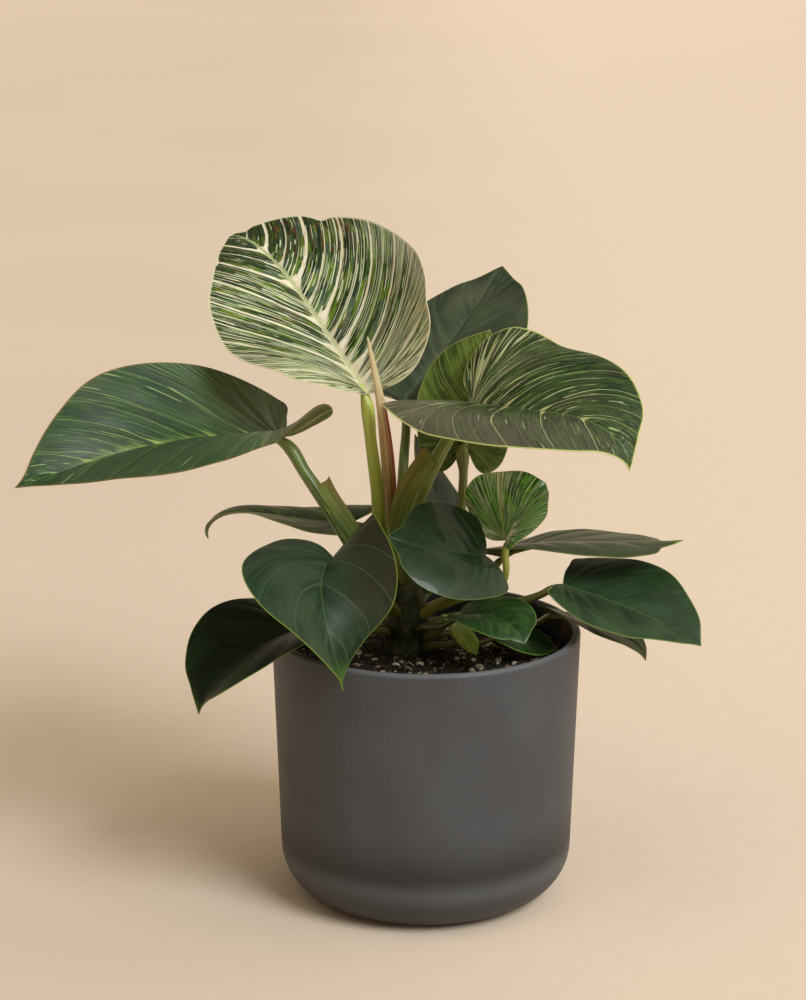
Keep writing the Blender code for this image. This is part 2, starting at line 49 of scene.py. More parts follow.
LEAVES = {
    "top": dict(base=(-27.5, 0, 235), length=126, half=(53.5, 56.5), lobe=0.13, widest=0.33, point=0.2,
                heading=(114, 22), rise=(19, 54, -47), tip_drop=-32, roll=(-3, -12),
                fold_l=(41, 3), fold_r=(42, 8), cup=(-45, 34), lobe_lift=-7),
    "high_left": dict(base=(-65, -5, 215.5), length=126, half=(47, 45.5), lobe=(0.17, 0.03), widest=0.27, point=1.0,
                      heading=(185, 39), rise=(4, -22, 1), tip_drop=12, roll=(8, -38),
                      fold_l=(18, 36), fold_r=(6, 34), cup=(-34, 35), lobe_lift=0, lobe_fold=(26, 0)),
    "high_right": dict(base=(20.5, -8, 231), length=106, half=(45, 52), lobe=0.17, widest=0.32, point=1.1,
                       heading=(-56, 17), rise=(6, 3, -9), tip_drop=-96, roll=(19, 9),
                       fold_l=(40, -2), fold_r=(30, -2), cup=(-17, -15), lobe_lift=5),
    "high_back": dict(base=(-9.5, 43, 220.5), length=96, half=(34.5, 38), lobe=0.04, widest=0.35, point=0.5,
                      heading=(49, 12), rise=(34, -6, 5), tip_drop=-4, roll=(22, -10),
                      fold_l=(11, 8), fold_r=(10, 8), cup=(-22, -15), lobe_lift=0),
    "erect": dict(base=(18, 24, 206), length=53, half=(22, 24), lobe=0.28, widest=0.33, point=0.6,
                  heading=(2, 0), rise=(86, -8, -10), tip_drop=-3, roll=(-86, -89),
                  fold_l=(4, 4), fold_r=(4, 4), cup=(-6, -6), lobe_lift=0),
    "low_back": dict(base=(14, 31, 154), length=56, half=(16.5, 16), lobe=0.03, widest=0.26, point=0.5,
                     heading=(136, 3), rise=(61, -2, 3), tip_drop=10, roll=(4, 9),
                     fold_l=(16, 10), fold_r=(15, 8), cup=(-17, -20), lobe_lift=0),
    "small_striped": dict(base=(35, -30, 175), length=31, half=(31.5, 18), lobe=0.12, widest=0.26, point=0.6,
                          heading=(26, 8), rise=(63, -20, -12), tip_drop=-10, roll=(-11, 33),
                          fold_l=(10, 25), fold_r=(13, 13), cup=(9, -18), lobe_lift=0),
    "centre": dict(base=(25.5, -31, 167.5), length=50, half=(24.5, 25), lobe=0.09, widest=0.44, point=0.4,
                   heading=(222, -35), rise=(14, 4, -6), tip_drop=21, roll=(-25, -22),
                   fold_l=(-2, -7), fold_r=(26, 25), cup=(-35, -2), lobe_lift=-1),
    "front": dict(base=(-41.5, -32, 166.5), length=71.5, half=(35.5, 36), lobe=0.12, widest=0.23, point=0.9,
                  heading=(-113, 73), rise=(-7, -76, 5), tip_drop=4, roll=(5, -40),
                  fold_l=(47, 0), fold_r=(26, 8), cup=(-9, -37), lobe_lift=1),
    "low_left": dict(base=(-53, -22, 132), length=67.5, half=(31, 39), lobe=0.13, widest=0.32, point=0.9,
                     heading=(217, -14), rise=(-1, -44, -13), tip_drop=-18, roll=(7, -3),
                     fold_l=(17, 18), fold_r=(16, 19), cup=(-20, -1), lobe_lift=0),
    "thin_left": dict(base=(-35.5, 27, 167.5), length=72.5, half=(19, 24), lobe=0.17, widest=0.30, point=0.6,
                      heading=(182, 0), rise=(1, 28, -20), tip_drop=-122, roll=(-15, 10),
                      fold_l=(12, 16), fold_r=(16, 15), cup=(-11, -58), lobe_lift=-4),
    "thin_right": dict(base=(35.5, 18, 154), length=83.5, half=(23, 24.5), lobe=0.08, widest=0.38, point=0.8,
                       heading=(-17, 15), rise=(24, -52, 19), tip_drop=23, roll=(-15, 0),
                       fold_l=(21, -6), fold_r=(24, -5), cup=(-5, -36), lobe_lift=-1),
    "low_right": dict(base=(61.5, -8, 147.5), length=68.5, half=(34.5, 26.5), lobe=0.04, widest=0.28, point=0.6,
                      heading=(-17, -11), rise=(-14, -1, -5), tip_drop=-13, roll=(0, 24),
                      fold_l=(13, 19), fold_r=(14, 15), cup=(-8, -31), lobe_lift=0),
    "tucked_right": dict(base=(58, -6, 133), length=48.5, half=(17, 18), lobe=0.13, widest=0.30, point=0.6,
                         heading=(-21, 1), rise=(-8, -5, -9), tip_drop=-63, roll=(-17, 8),
                         fold_l=(15, 10), fold_r=(20, 8), cup=(-20, -21), lobe_lift=0),
    "small_centre": dict(base=(16, -24, 138), length=38.5, half=(18.5, 17), lobe=0.10, widest=0.37, point=0.4,
                         heading=(-32, -20), rise=(17, -32, -27), tip_drop=-11, roll=(-1, 16),
                         fold_l=(18, 8), fold_r=(18, 6), cup=(-12, -22), lobe_lift=0),
    "small_light": dict(base=(11.5, -8, 131), length=22, half=(7, 7), lobe=0.13, widest=0.33, point=0.6,
                        heading=(-53, -1), rise=(-25, -23, 6), tip_drop=5, roll=(-22, 9),
                        fold_l=(13, 10), fold_r=(15, 9), cup=(-22, -21), lobe_lift=0),
    "soil_right": dict(base=(33.5, -12, 124.5), length=26.5, half=(10.5, 10.5), lobe=0.13, widest=0.35, point=0.6,
                       heading=(5, -4), rise=(-10, -9, -2), tip_drop=0, roll=(9, 26),
                       fold_l=(16, 13), fold_r=(15, 7), cup=(-15, -24), lobe_lift=0),
}

STALKS = {
    "top": (2.5, 4.1, [(-25, -2, 213), (-22, 0, 190), (-20, 2, 168), (-17, 5, 155)]),
    "high_back": (1.9, 3.1, [(-9, 40, 211), (-10, 33, 196), (-11, 23, 179), (-11, 14, 163), (-10, 10, 155)]),
    "high_right": (2.5, 4.8, [(11, -8, 217), (1, -10, 199), (-7, -10, 180), (-11, -9, 165), (-11, -7, 156)]),
    "high_left": (2.7, 4.3, [(-54, -10, 200), (-43, -13, 184), (-33, -13, 168), (-24, -9, 153)]),
    "erect": (1.8, 2.6, [(17, 21, 204), (17, 19, 192), (16, 17, 176), (13, 12, 158), (6, 6, 147)]),
    "low_back": (1.0, 1.7, [(14, 30, 147), (10, 20, 143), (4, 13, 141)]),
    "thin_left": (1.6, 2.2, [(-29, 22, 160), (-20, 13, 149)]),
    "centre": (1.9, 2.4, [(23, -24, 155), (14, -15, 145), (4, -7, 137)]),
    "small_striped": (1.4, 2.1, [(35, -28, 159), (31, -15, 148), (19, -3, 141), (6, 1, 135)]),
    "thin_right": (1.6, 2.1, [(29, 17, 144), (17, 12, 138), (6, 8, 134)]),
    "front": (1.9, 2.9, [(-34, -24, 158), (-23, -14, 146), (-17, -10, 139)]),
    "low_left": (1.7, 2.5, [(-46, -18, 127), (-33, -12, 126), (-21, -6, 126)]),
    "low_right": (1.6, 2.3, [(51, -6, 142), (38, 0, 136), (22, 4, 130), (6, 3, 127)]),
    "tucked_right": (1.3, 1.8, [(50, 3, 126), (34, 10, 122), (16, 10, 120), (4, 7, 119)]),
    "small_centre": (1.2, 1.9, [(9, -21, 133), (1, -13, 129)]),
    "small_light": (1.0, 1.5, [(8, -8, 128), (4, -6, 124)]),
    "soil_right": (1.0, 1.5, [(26, -10, 121), (18, -9, 120), (6, -8, 119)]),
}
SPEAR = [(-26, -16.5, 262.5, 0.35), (-24, -14.5, 252, 1.2), (-20.6, -11.3, 233, 2.0), (-18, -7, 211, 2.9),
         (-16.5, -4, 193, 3.0), (-15.5, -3, 178, 2.5), (-14, -2, 166, 1.9), (-13, -1, 157, 1.7)]
SHEATH_HIGH_LEFT = [(-43.3, -13.5, 199, 0.25), (-41, -13.8, 193.5, 0.6), (-36, -14.5, 185, 1.0), (-30, -15, 175, 1.2), (-24.5, -13, 162, 1.0)]
SHEATH_HIGH_RIGHT = [(-0.5, -9, 212, 0.25), (-4, -10, 206, 1.5), (-8, -11, 199, 2.4), (-12, -11.5, 190, 2.7), (-14.5, -12, 178, 2.2), (-14, -11, 160, 1.6)]
DRY_STALK = [(60, 4, 130, 0.45), (62.5, 4, 127, 0.6), (62.7, 1, 123, 0.65), (60.5, -2, 119, 0.6), (57.5, -6, 114.5, 0.55)]


# ================================== small helpers ==================================
def lin(r, g, b):
    """Colour as seen (0-255) to scene-linear RGBA."""
    out = []
    for c in (r, g, b):
        c /= 255.0
        out.append(c / 12.92 if c <= 0.04045 else ((c + 0.055) / 1.055) ** 2.4)
    return (out[0], out[1], out[2], 1.0)


class Net:
    """Node tree of one material, written as plain expressions."""

    def __init__(self, name):
        self.mat = bpy.data.materials.new(name)
        self.mat.use_nodes = True
        self.tree = self.mat.node_tree
        self.shader = self.tree.nodes["Principled BSDF"]

    def put(self, socket, value):
        if isinstance(value, bpy.types.NodeSocket):
            self.tree.links.new(value, socket)
        else:
            socket.default_value = value

    def node(self, kind):
        return self.tree.nodes.new(kind)

    def math(self, op, a, b=0.0, clamp=False):
        n = self.node("ShaderNodeMath")
        n.operation = op
        n.use_clamp = clamp
        self.put(n.inputs[0], a)
        self.put(n.inputs[1], b)
        return n.outputs[0]

    def mul(self, a, b):
        return self.math("MULTIPLY", a, b)

    def add(self, a, b):
        return self.math("ADD", a, b)

    def step(self, x, lo, hi, a=0.0, b=1.0):
        n = self.node("ShaderNodeMapRange")
        n.interpolation_type = "SMOOTHSTEP"
        for socket, value in zip(n.inputs, (x, lo, hi, a, b)):
            self.put(socket, value)
        return n.outputs[0]

    def mix(self, f, a, b, kind="MIX"):
        n = self.node("ShaderNodeMix")
        n.data_type = "RGBA"
        n.blend_type = kind
        self.put(n.inputs[0], f)
        self.put(n.inputs[6], a)
        self.put(n.inputs[7], b)
        return n.outputs[2]

    def blend(self, f, a, b):
        n = self.node("ShaderNodeMix")
        n.data_type = "FLOAT"
        self.put(n.inputs[0], f)
        self.put(n.inputs[2], a)
        self.put(n.inputs[3], b)
        return n.outputs[0]

    def vec(self, x, y=0.0, z=0.0):
        n = self.node("ShaderNodeCombineXYZ")
        for socket, value in zip(n.inputs, (x, y, z)):
            self.put(socket, value)
        return n.outputs[0]

    def noise(self, vector, scale=1.0, detail=2.0, rough=0.5, warp=0.0):
        n = self.node("ShaderNodeTexNoise")
        self.put(n.inputs["Vector"], vector)
        n.inputs["Scale"].default_value = scale
        n.inputs["Detail"].default_value = detail
        n.inputs["Roughness"].default_value = rough
        n.inputs["Distortion"].default_value = warp
        return n.outputs[0]

    def cells(self, vector, scale=1.0, feature="F1"):
        n = self.node("ShaderNodeTexVoronoi")
        n.feature = feature
        self.put(n.inputs["Vector"], vector)
        n.inputs["Scale"].default_value = scale
        return n.outputs[0]

    def random(self, x):
        n = self.node("ShaderNodeTexWhiteNoise")
        n.noise_dimensions = "1D"
        self.put(n.inputs["W"], x)
        return n.outputs["Value"]

    def threads(self, u, s, per_cm, breadth, often, thr, seed):
        """Thin lines that follow the side veins: they wander, differ in breadth and break off."""
        drift = self.math("SUBTRACT", self.noise(self.vec(self.mul(u, per_cm * 0.35), self.mul(s, 0.8), seed), 1.0, 0.5), 0.5)
        p = self.add(self.mul(u, per_cm), self.mul(drift, 2.4))
        line = self.math("FLOOR", p)
        pick = self.random(self.add(line, seed))
        off = self.math("ABSOLUTE", self.math("SUBTRACT", self.math("SUBTRACT", p, line), self.add(0.3, self.mul(pick, 0.4))))
        there = self.noise(self.vec(self.mul(line, 1.73), self.mul(s, often), seed + 3), 1.0, 1.5)
        there = self.step(self.math("SUBTRACT", there, thr), 0.0, 0.06)
        width = self.mul(self.mul(self.add(0.45, self.mul(self.random(self.add(line, seed + 0.37)), 1.1)), breadth), self.add(0.3, self.mul(there, 0.7)))
        return self.mul(self.step(self.math("DIVIDE", off, width), 1.0, 0.5), there)

    def uv(self, name):
        n = self.node("ShaderNodeUVMap")
        n.uv_map = name
        split = self.node("ShaderNodeSeparateXYZ")
        self.tree.links.new(n.outputs[0], split.inputs[0])
        return split.outputs[0], split.outputs[1]

    def place(self):
        return self.node("ShaderNodeTexCoord").outputs["Object"]

    def xyz(self, vector):
        split = self.node("ShaderNodeSeparateXYZ")
        self.put(split.inputs[0], vector)
        return split.outputs[0], split.outputs[1], split.outputs[2]

    def bump(self, height, depth_mm, strength=1.0):
        n = self.node("ShaderNodeBump")
        n.inputs["Strength"].default_value = strength
        n.inputs["Distance"].default_value = depth_mm * MM
        self.put(n.inputs["Height"], height)
        self.tree.links.new(n.outputs[0], self.shader.inputs["Normal"])

    def finish(self, colour, rough, specular=0.5, coat=0.0, coat_rough=0.1, sheen=0.0, subsurface=0.0):
        s = self.shader.inputs
        self.put(s["Base Color"], colour)
        self.put(s["Roughness"], rough)
        s["Specular IOR Level"].default_value = specular
        s["Coat Weight"].default_value = coat
        s["Coat Roughness"].default_value = coat_rough
        s["Sheen Weight"].default_value = sheen
        if subsurface:
            s["Subsurface Weight"].default_value = subsurface
            s["Subsurface Radius"].default_value = (0.5, 1.0, 0.25)
            s["Subsurface Scale"].default_value = 0.0012
        return self.mat


def ease(x):
    x = np.clip(x, 0, 1)
    return x * x * (3 - 2 * x)


def smooth_path(points, knots, t):
    """Smooth curve through points, read at t (0..1 of the knots)."""
    n = len(points)
    k = knots
    m = np.zeros_like(points)
    for i in range(1, n - 1):
        a, b = k[i] - k[i - 1], k[i + 1] - k[i]
        m[i] = ((points[i] - points[i - 1]) / a * b + (points[i + 1] - points[i]) / b * a) / (a + b)
    m[0] = 2 * (points[1] - points[0]) / (k[1] - k[0]) - m[1]
    m[-1] = 2 * (points[-1] - points[-2]) / (k[-1] - k[-2]) - m[-2]
    i = np.clip(np.searchsorted(k, t, side="right") - 1, 0, n - 2)
    h = (k[i + 1] - k[i])[..., None]
    u = (t[..., None] - k[i][..., None]) / h
    return ((2 * u**3 - 3 * u**2 + 1) * points[i] + (u**3 - 2 * u**2 + u) * h * m[i]
            + (-2 * u**3 + 3 * u**2) * points[i + 1] + (u**3 - u**2) * h * m[i + 1])


def piece(name, verts, faces, mats, nodes, face_mats=None, uvs=None, sharp=50.0):
    """Mesh object in metres from millimetre vertices, riding on the root body."""
    me = bpy.data.meshes.new(name)
    me.from_pydata((np.asarray(verts, float) * MM).tolist(), [], faces)
    for m in mats:
        me.materials.append(m)
    if face_mats is not None:
        me.polygons.foreach_set("material_index", np.asarray(face_mats, np.int32))
    for uv_name, values in (uvs or {}).items():
        layer = me.uv_layers.new(name=uv_name)
        layer.data.foreach_set("uv", np.asarray(values, np.float32).ravel())
    me.validate()
    me.update()
    me.shade_smooth()
    if sharp:
        me.set_sharp_from_angle(angle=math.radians(sharp))
    ob = bpy.data.objects.new(name, me)
    bpy.context.scene.collection.objects.link(ob)
    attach(ob, "root")
    if nodes:
        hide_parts(*nodes)
    return ob


# =================================== leaf blades ===================================
def margin(w, lobe, widest, point):
    """Half of the heart-shaped outline: share of length, share of half width."""
    p = np.array([(-0.50 * lobe, 0.13), (-0.90 * lobe, 0.30), (-lobe, 0.50), (-0.62 * lobe, 0.80),
                  (0.45 * widest, 0.965), (widest, 1.0), (min(widest + 0.26, 0.68), 0.86), (min(widest + 0.46, 0.84), 0.56),
                  (0.885, 0.29 * (1.35 - 0.5 * point)), (0.955, 0.105 * (1.5 - point) + 0.02), (1.0, 0.0)])
    d = np.sqrt(np.linalg.norm(p[1:] - p[:-1], axis=1))
    k = np.concatenate([[0.0], np.cumsum(d)])
    return smooth_path(p, k / k[-1], w)


def blade_points(q, w, v):
    """Points of a blade, and where they lie on the flat leaf: w runs along the margin from
    the notch to the tip, v from -1 to 1 across."""
    length = q["length"]
    lobes = q["lobe"] if isinstance(q["lobe"], tuple) else (q["lobe"], q["lobe"])
    s = np.abs(v)
    left = v < 0
    edge = np.where(left[..., None], margin(w, lobes[0], q["widest"], q["point"]), margin(w, lobes[1], q["widest"], q["point"]))
    ref = margin(w, min(lobes), q["widest"], q["point"])
    half = np.where(left, q["half"][0], q["half"][1])
    px, py = edge[..., 0] * length, edge[..., 1] * half
    notch = 0.14 * min(lobes) * length
    wt = np.linspace(0, 1, 201)
    w0 = wt[np.argmax(margin(wt, min(lobes), q["widest"], q["point"])[:, 0] > 0.15)]
    g = (ref[..., 0] - 0.15) / 0.85
    qx = np.where(g > 0, np.abs(g) ** 2.6 * length, 0.0)
    qx = np.where(w < w0, -notch * (1 - w / w0), qx)
    dx, dy = px - qx, py
    turn = np.radians(38.0) * np.clip(1.15 - w, 0, 1) * ease(edge[..., 0] / 0.5) * np.minimum(1.0, 0.7 * length / half)
    cx = qx + 0.52 * (dx * np.cos(turn) - dy * np.sin(turn))
    cy = 0.52 * (dx * np.sin(turn) + dy * np.cos(turn))
    x = (1 - s) ** 2 * qx + 2 * s * (1 - s) * cx + s * s * px
    y = 2 * s * (1 - s) * cy + s * s * py
    xs = np.linspace(-0.35, 1.0, 240)
    u = np.clip(xs, 0, 1)
    el = np.radians(q["rise"][0] + q["rise"][1] * u + q["rise"][2] * u * u + q["tip_drop"] * u**6
                    + q["lobe_lift"] * np.clip(-xs, 0, 1) / 0.2)
    az = np.radians(q["heading"][0] + q["heading"][1] * u)
    along = np.stack([np.cos(el) * np.cos(az), np.cos(el) * np.sin(az), np.sin(el)], -1)
    up = np.stack([-np.sin(el) * np.cos(az), -np.sin(el) * np.sin(az), np.cos(el)], -1)
    side = np.cross(along, up)
    step = (xs[1] - xs[0]) * length
    rib = np.concatenate([[np.zeros(3)], np.cumsum((along[1:] + along[:-1]) / 2 * step, 0)])
    at0 = np.array([np.interp(0, xs, rib[:, k]) for k in range(3)])
    rib = rib - at0 + np.array(q["base"], float)
    rr = np.radians(q["roll"][0] + (q["roll"][1] - q["roll"][0]) * u)[:, None]
    up2 = up * np.cos(rr) + side * np.sin(rr)
    side2 = side * np.cos(rr) - up * np.sin(rr)
    xl = x / length

    def read(a):
        return np.stack([np.interp(xl, xs, a[:, k]) for k in range(3)], -1)

    c, n, b = read(rib), read(up2), read(side2)
    n /= np.linalg.norm(n, axis=-1, keepdims=True)
    b /= np.linalg.norm(b, axis=-1, keepdims=True)
    f = np.clip(xl, 0, 1)
    fl = q["fold_l"][0] + (q["fold_l"][1] - q["fold_l"][0]) * f
    fr = q["fold_r"][0] + (q["fold_r"][1] - q["fold_r"][0]) * f
    if "lobe_fold" in q:
        back = ease((0.05 - xl) / 0.20)
        fl = fl + q["lobe_fold"][0] * back
        fr = fr + q["lobe_fold"][1] * back
    fold = np.radians(np.where(left, fl, fr))
    cup = np.radians(np.where(left, q["cup"][0], q["cup"][1])) * y / half
    mean = fold + cup / 2
    chord = y * np.sinc(cup / 2 / np.pi)
    sign = np.where(left, -1.0, 1.0)
    out = sign * chord * np.cos(mean)
    pts = c + b * out[..., None] + n * (chord * np.sin(mean))[..., None]
    slope = (fold + cup) * ease(y / (0.10 * half))
    face = n * np.cos(slope)[..., None] - b * (sign * np.sin(slope))[..., None]
    return pts, face, x, np.where(left, -y, y), qx


ACROSS_BIG = (0.012, 0.03, 0.06, 0.10, 0.15, 0.21, 0.28, 0.36, 0.44, 0.52, 0.60, 0.68, 0.75, 0.81, 0.86, 0.905, 0.94, 0.965, 0.985, 1.0)
ACROSS_SMALL = (0.02, 0.05, 0.11, 0.20, 0.31, 0.43, 0.55, 0.67, 0.77, 0.86, 0.93, 0.975, 1.0)


def leaf(key, q, upper, lower, slot, veins=8, rows=112, quilt=0.35, ripple=0.5, thick=0.5, rib_depth=1.0, seed=1, kinks=()):
    """Closed blade: both faces follow the flat-leaf grid, with a furrow over the midrib,
    a rib under it, shallow quilting between the side veins and a slightly wavy margin."""
    small = q["length"] < 45
    across = ACROSS_SMALL if small else ACROSS_BIG
    rows = min(rows, 64) if small else rows
    vs = np.array([-a for a in across[::-1]] + [0.0] + list(across))
    ws = np.linspace(0.02, 1, rows + 1)
    gw, gv = np.meshgrid(ws[:-1], vs, indexing="ij")
    pts, nor, fx, fy, qx = blade_points(q, gw, gv)
    tip, tip_n, _, _, _ = blade_points(q, np.array([1.0]), np.array([0.0]))
    m, n = len(vs), rows
    mid = m // 2
    length = q["length"]

    # distance along the margin, to the midrib and to the margin, all in millimetres
    arcs = []
    for col in (0, m - 1):
        path = np.stack([fx[:, col], fy[:, col]], -1)
        arcs.append(np.concatenate([[0], np.cumsum(np.linalg.norm(path[1:] - path[:-1], axis=1))]))
    total = [arcs[0][-1] + 2.0, arcs[1][-1] + 2.0]
    arc_l = np.repeat(arcs[0][:, None], m, 1)
    arc_r = np.repeat(arcs[1][:, None], m, 1)
    s = np.abs(gv)
    d_mid = np.hypot(fy, np.clip(-fx, 0, None))
    border = np.concatenate([np.stack([fx[:, 0], fy[:, 0]], -1), [[length, 0.0]], np.stack([fx[::-1, m - 1], fy[::-1, m - 1]], -1)])
    a, b = border[:-1], border[1:]
    ab = b - a
    ll = (ab**2).sum(-1) + 1e-9
    flat = np.stack([fx, fy], -1).reshape(-1, 2)
    d_edge = np.empty(len(flat))
    for i0 in range(0, len(flat), 2000):
        p = flat[i0:i0 + 2000, None, :]
        t = np.clip(((p - a) * ab).sum(-1) / ll, 0, 1)
        d_edge[i0:i0 + 2000] = np.sqrt((((a + t[..., None] * ab) - p) ** 2).sum(-1)).min(1)
    d_edge = d_edge.reshape(n, m)

    # relief
    rng = np.random.default_rng(seed)
    ph = rng.uniform(0, 6.28, 8)
    left = gv < 0
    un = np.where(left, arc_l / total[0], arc_r / total[1])
    size = length / 100.0
    phase = un * veins
    near = np.abs(phase - np.round(phase))
    line = np.exp(-((near * total[0] / veins * (0.25 + 0.75 * s)) / (0.9 * size + 0.25)) ** 2)
    fade = np.sin(np.pi * np.clip(s, 0, 1) ** 0.8)
    relief = quilt * size * (-0.8 * line * fade + 0.35 * (1 - np.cos(2 * np.pi * phase)) * fade - 0.25 * fade)
    wave = sum(np.sin(un * f + ph[k] + (0 if k % 2 else 1.7) * left) * c
               for k, (f, c) in enumerate(((9.0, 1.0), (17.0, 0.55), (29.0, 0.3), (47.0, 0.15))))
    relief = relief + ripple * size * wave * s**4 * np.clip((1 - gw) * 6, 0, 1)
    across_dir = np.gradient(pts, axis=1) * np.sign(gv)[..., None]
    across_dir /= np.linalg.norm(across_dir, axis=-1, keepdims=True) + 1e-9
    for side, at, depth, width in kinks:
        arc_k, tot_k = (arc_r, total[1]) if side > 0 else (arc_l, total[0])
        dent = depth * np.exp(-(((arc_k - at * tot_k) / width) ** 2)) * (gv * side > 0)
        pts = pts - across_dir * (dent * s ** (8 if width < 6 else 2.5))[..., None]
        relief = relief - 0.7 * dent * s**3
    rib_x = np.clip(fx / length, 0, 1)
    rib_w = (1.5 - 0.9 * rib_x) * (0.35 + 0.65 * size)
    groove = 0.38 * size * np.exp(-(d_mid / (0.75 * rib_w)) ** 2) * (1 - 0.6 * rib_x)
    under = rib_depth * (0.4 + 0.6 * size) * np.exp(-(d_mid / rib_w) ** 2) * (1 - rib_x) ** 0.7
    under = under + 0.16 * size * line * fade * (1 - s)
    t = thick * (1 - 0.45 * s**6)
    top = pts + nor * (t / 2 + relief - groove)[..., None]
    low = pts + nor * (-t / 2 + relief - under)[..., None]
    verts = np.concatenate([top.reshape(-1, 3), low.reshape(-1, 3), tip + tip_n * 0.1, tip - tip_n * 0.1])
    k = n * m
    tip_t, tip_b = 2 * k, 2 * k + 1

    i, j = np.meshgrid(np.arange(n - 1), np.arange(m - 1), indexing="ij")
    a0 = (i * m + j).ravel()
    jj = j.ravel()
    quad_top = np.stack([a0, a0 + 1, a0 + m + 1, a0 + m], -1)
    quad_low = np.stack([a0 + k, a0 + k + m, a0 + k + m + 1, a0 + k + 1], -1)
    ii = np.arange(n - 1)
    rim_l = np.stack([ii * m, (ii + 1) * m, (ii + 1) * m + k, ii * m + k], -1)
    r0 = ii * m + m - 1
    rim_r = np.stack([r0 + m, r0, r0 + k, r0 + m + k], -1)
    j1 = np.arange(m - 1)
    rim_n = np.stack([j1 + 1, j1, j1 + k, j1 + 1 + k], -1)
    last = (n - 1) * m
    rim_t = np.array([[last, tip_t, tip_b, last + k], [tip_t, last + m - 1, last + m - 1 + k, tip_b]])
    tri_top = np.stack([last + j1, last + j1 + 1, np.full(m - 1, tip_t)], -1)
    tri_low = np.stack([last + j1 + k + 1, last + j1 + k, np.full(m - 1, tip_b)], -1)
    groups = [(quad_top, 0, jj >= mid), (quad_low, 1, jj >= mid), (rim_l, 0, np.zeros(n - 1, bool)), (rim_r, 0, np.ones(n - 1, bool)),
              (rim_n, 0, j1 >= mid), (rim_t, 0, np.array([False, True])), (tri_top, 0, j1 >= mid), (tri_low, 1, j1 >= mid)]
    faces, mats, loop_v, loop_r = [], [], [], []
    for f, mat_i, right in groups:
        faces += f.tolist()
        mats += [mat_i] * len(f)
        loop_v.append(f.ravel())
        loop_r.append(np.repeat(right, f.shape[1]))
    loop_v, loop_r = np.concatenate(loop_v), np.concatenate(loop_r)

    def both(grid, tip_value):
        g = grid.reshape(-1)
        return np.concatenate([g, g, [tip_value, tip_value]])

    al, ar = both(arc_l, total[0]), both(arc_r, total[1])
    u_mm = np.where(loop_r, ar[loop_v] + 1000.0, al[loop_v]) / 10.0
    u_n = np.where(loop_r, ar[loop_v] / total[1], al[loop_v] / total[0])
    s_all = both(s, 0.6)[loop_v]
    uvs = {"UVMap": np.stack([u_mm, s_all], -1),
           "vein": np.stack([u_n, both(qx / length, 1.0)[loop_v]], -1),
           "flat": np.stack([both(fx / length, 1.0)[loop_v], both(fy / length, 0.0)[loop_v]], -1),
           "edge": np.stack([both(d_mid, 0.0)[loop_v] / 10, both(d_edge, 0.0)[loop_v] / 10], -1)}
    return piece("fine_leaf_" + key, verts, faces, [upper, lower], ["leaf_" + key], mats, uvs, sharp=60)


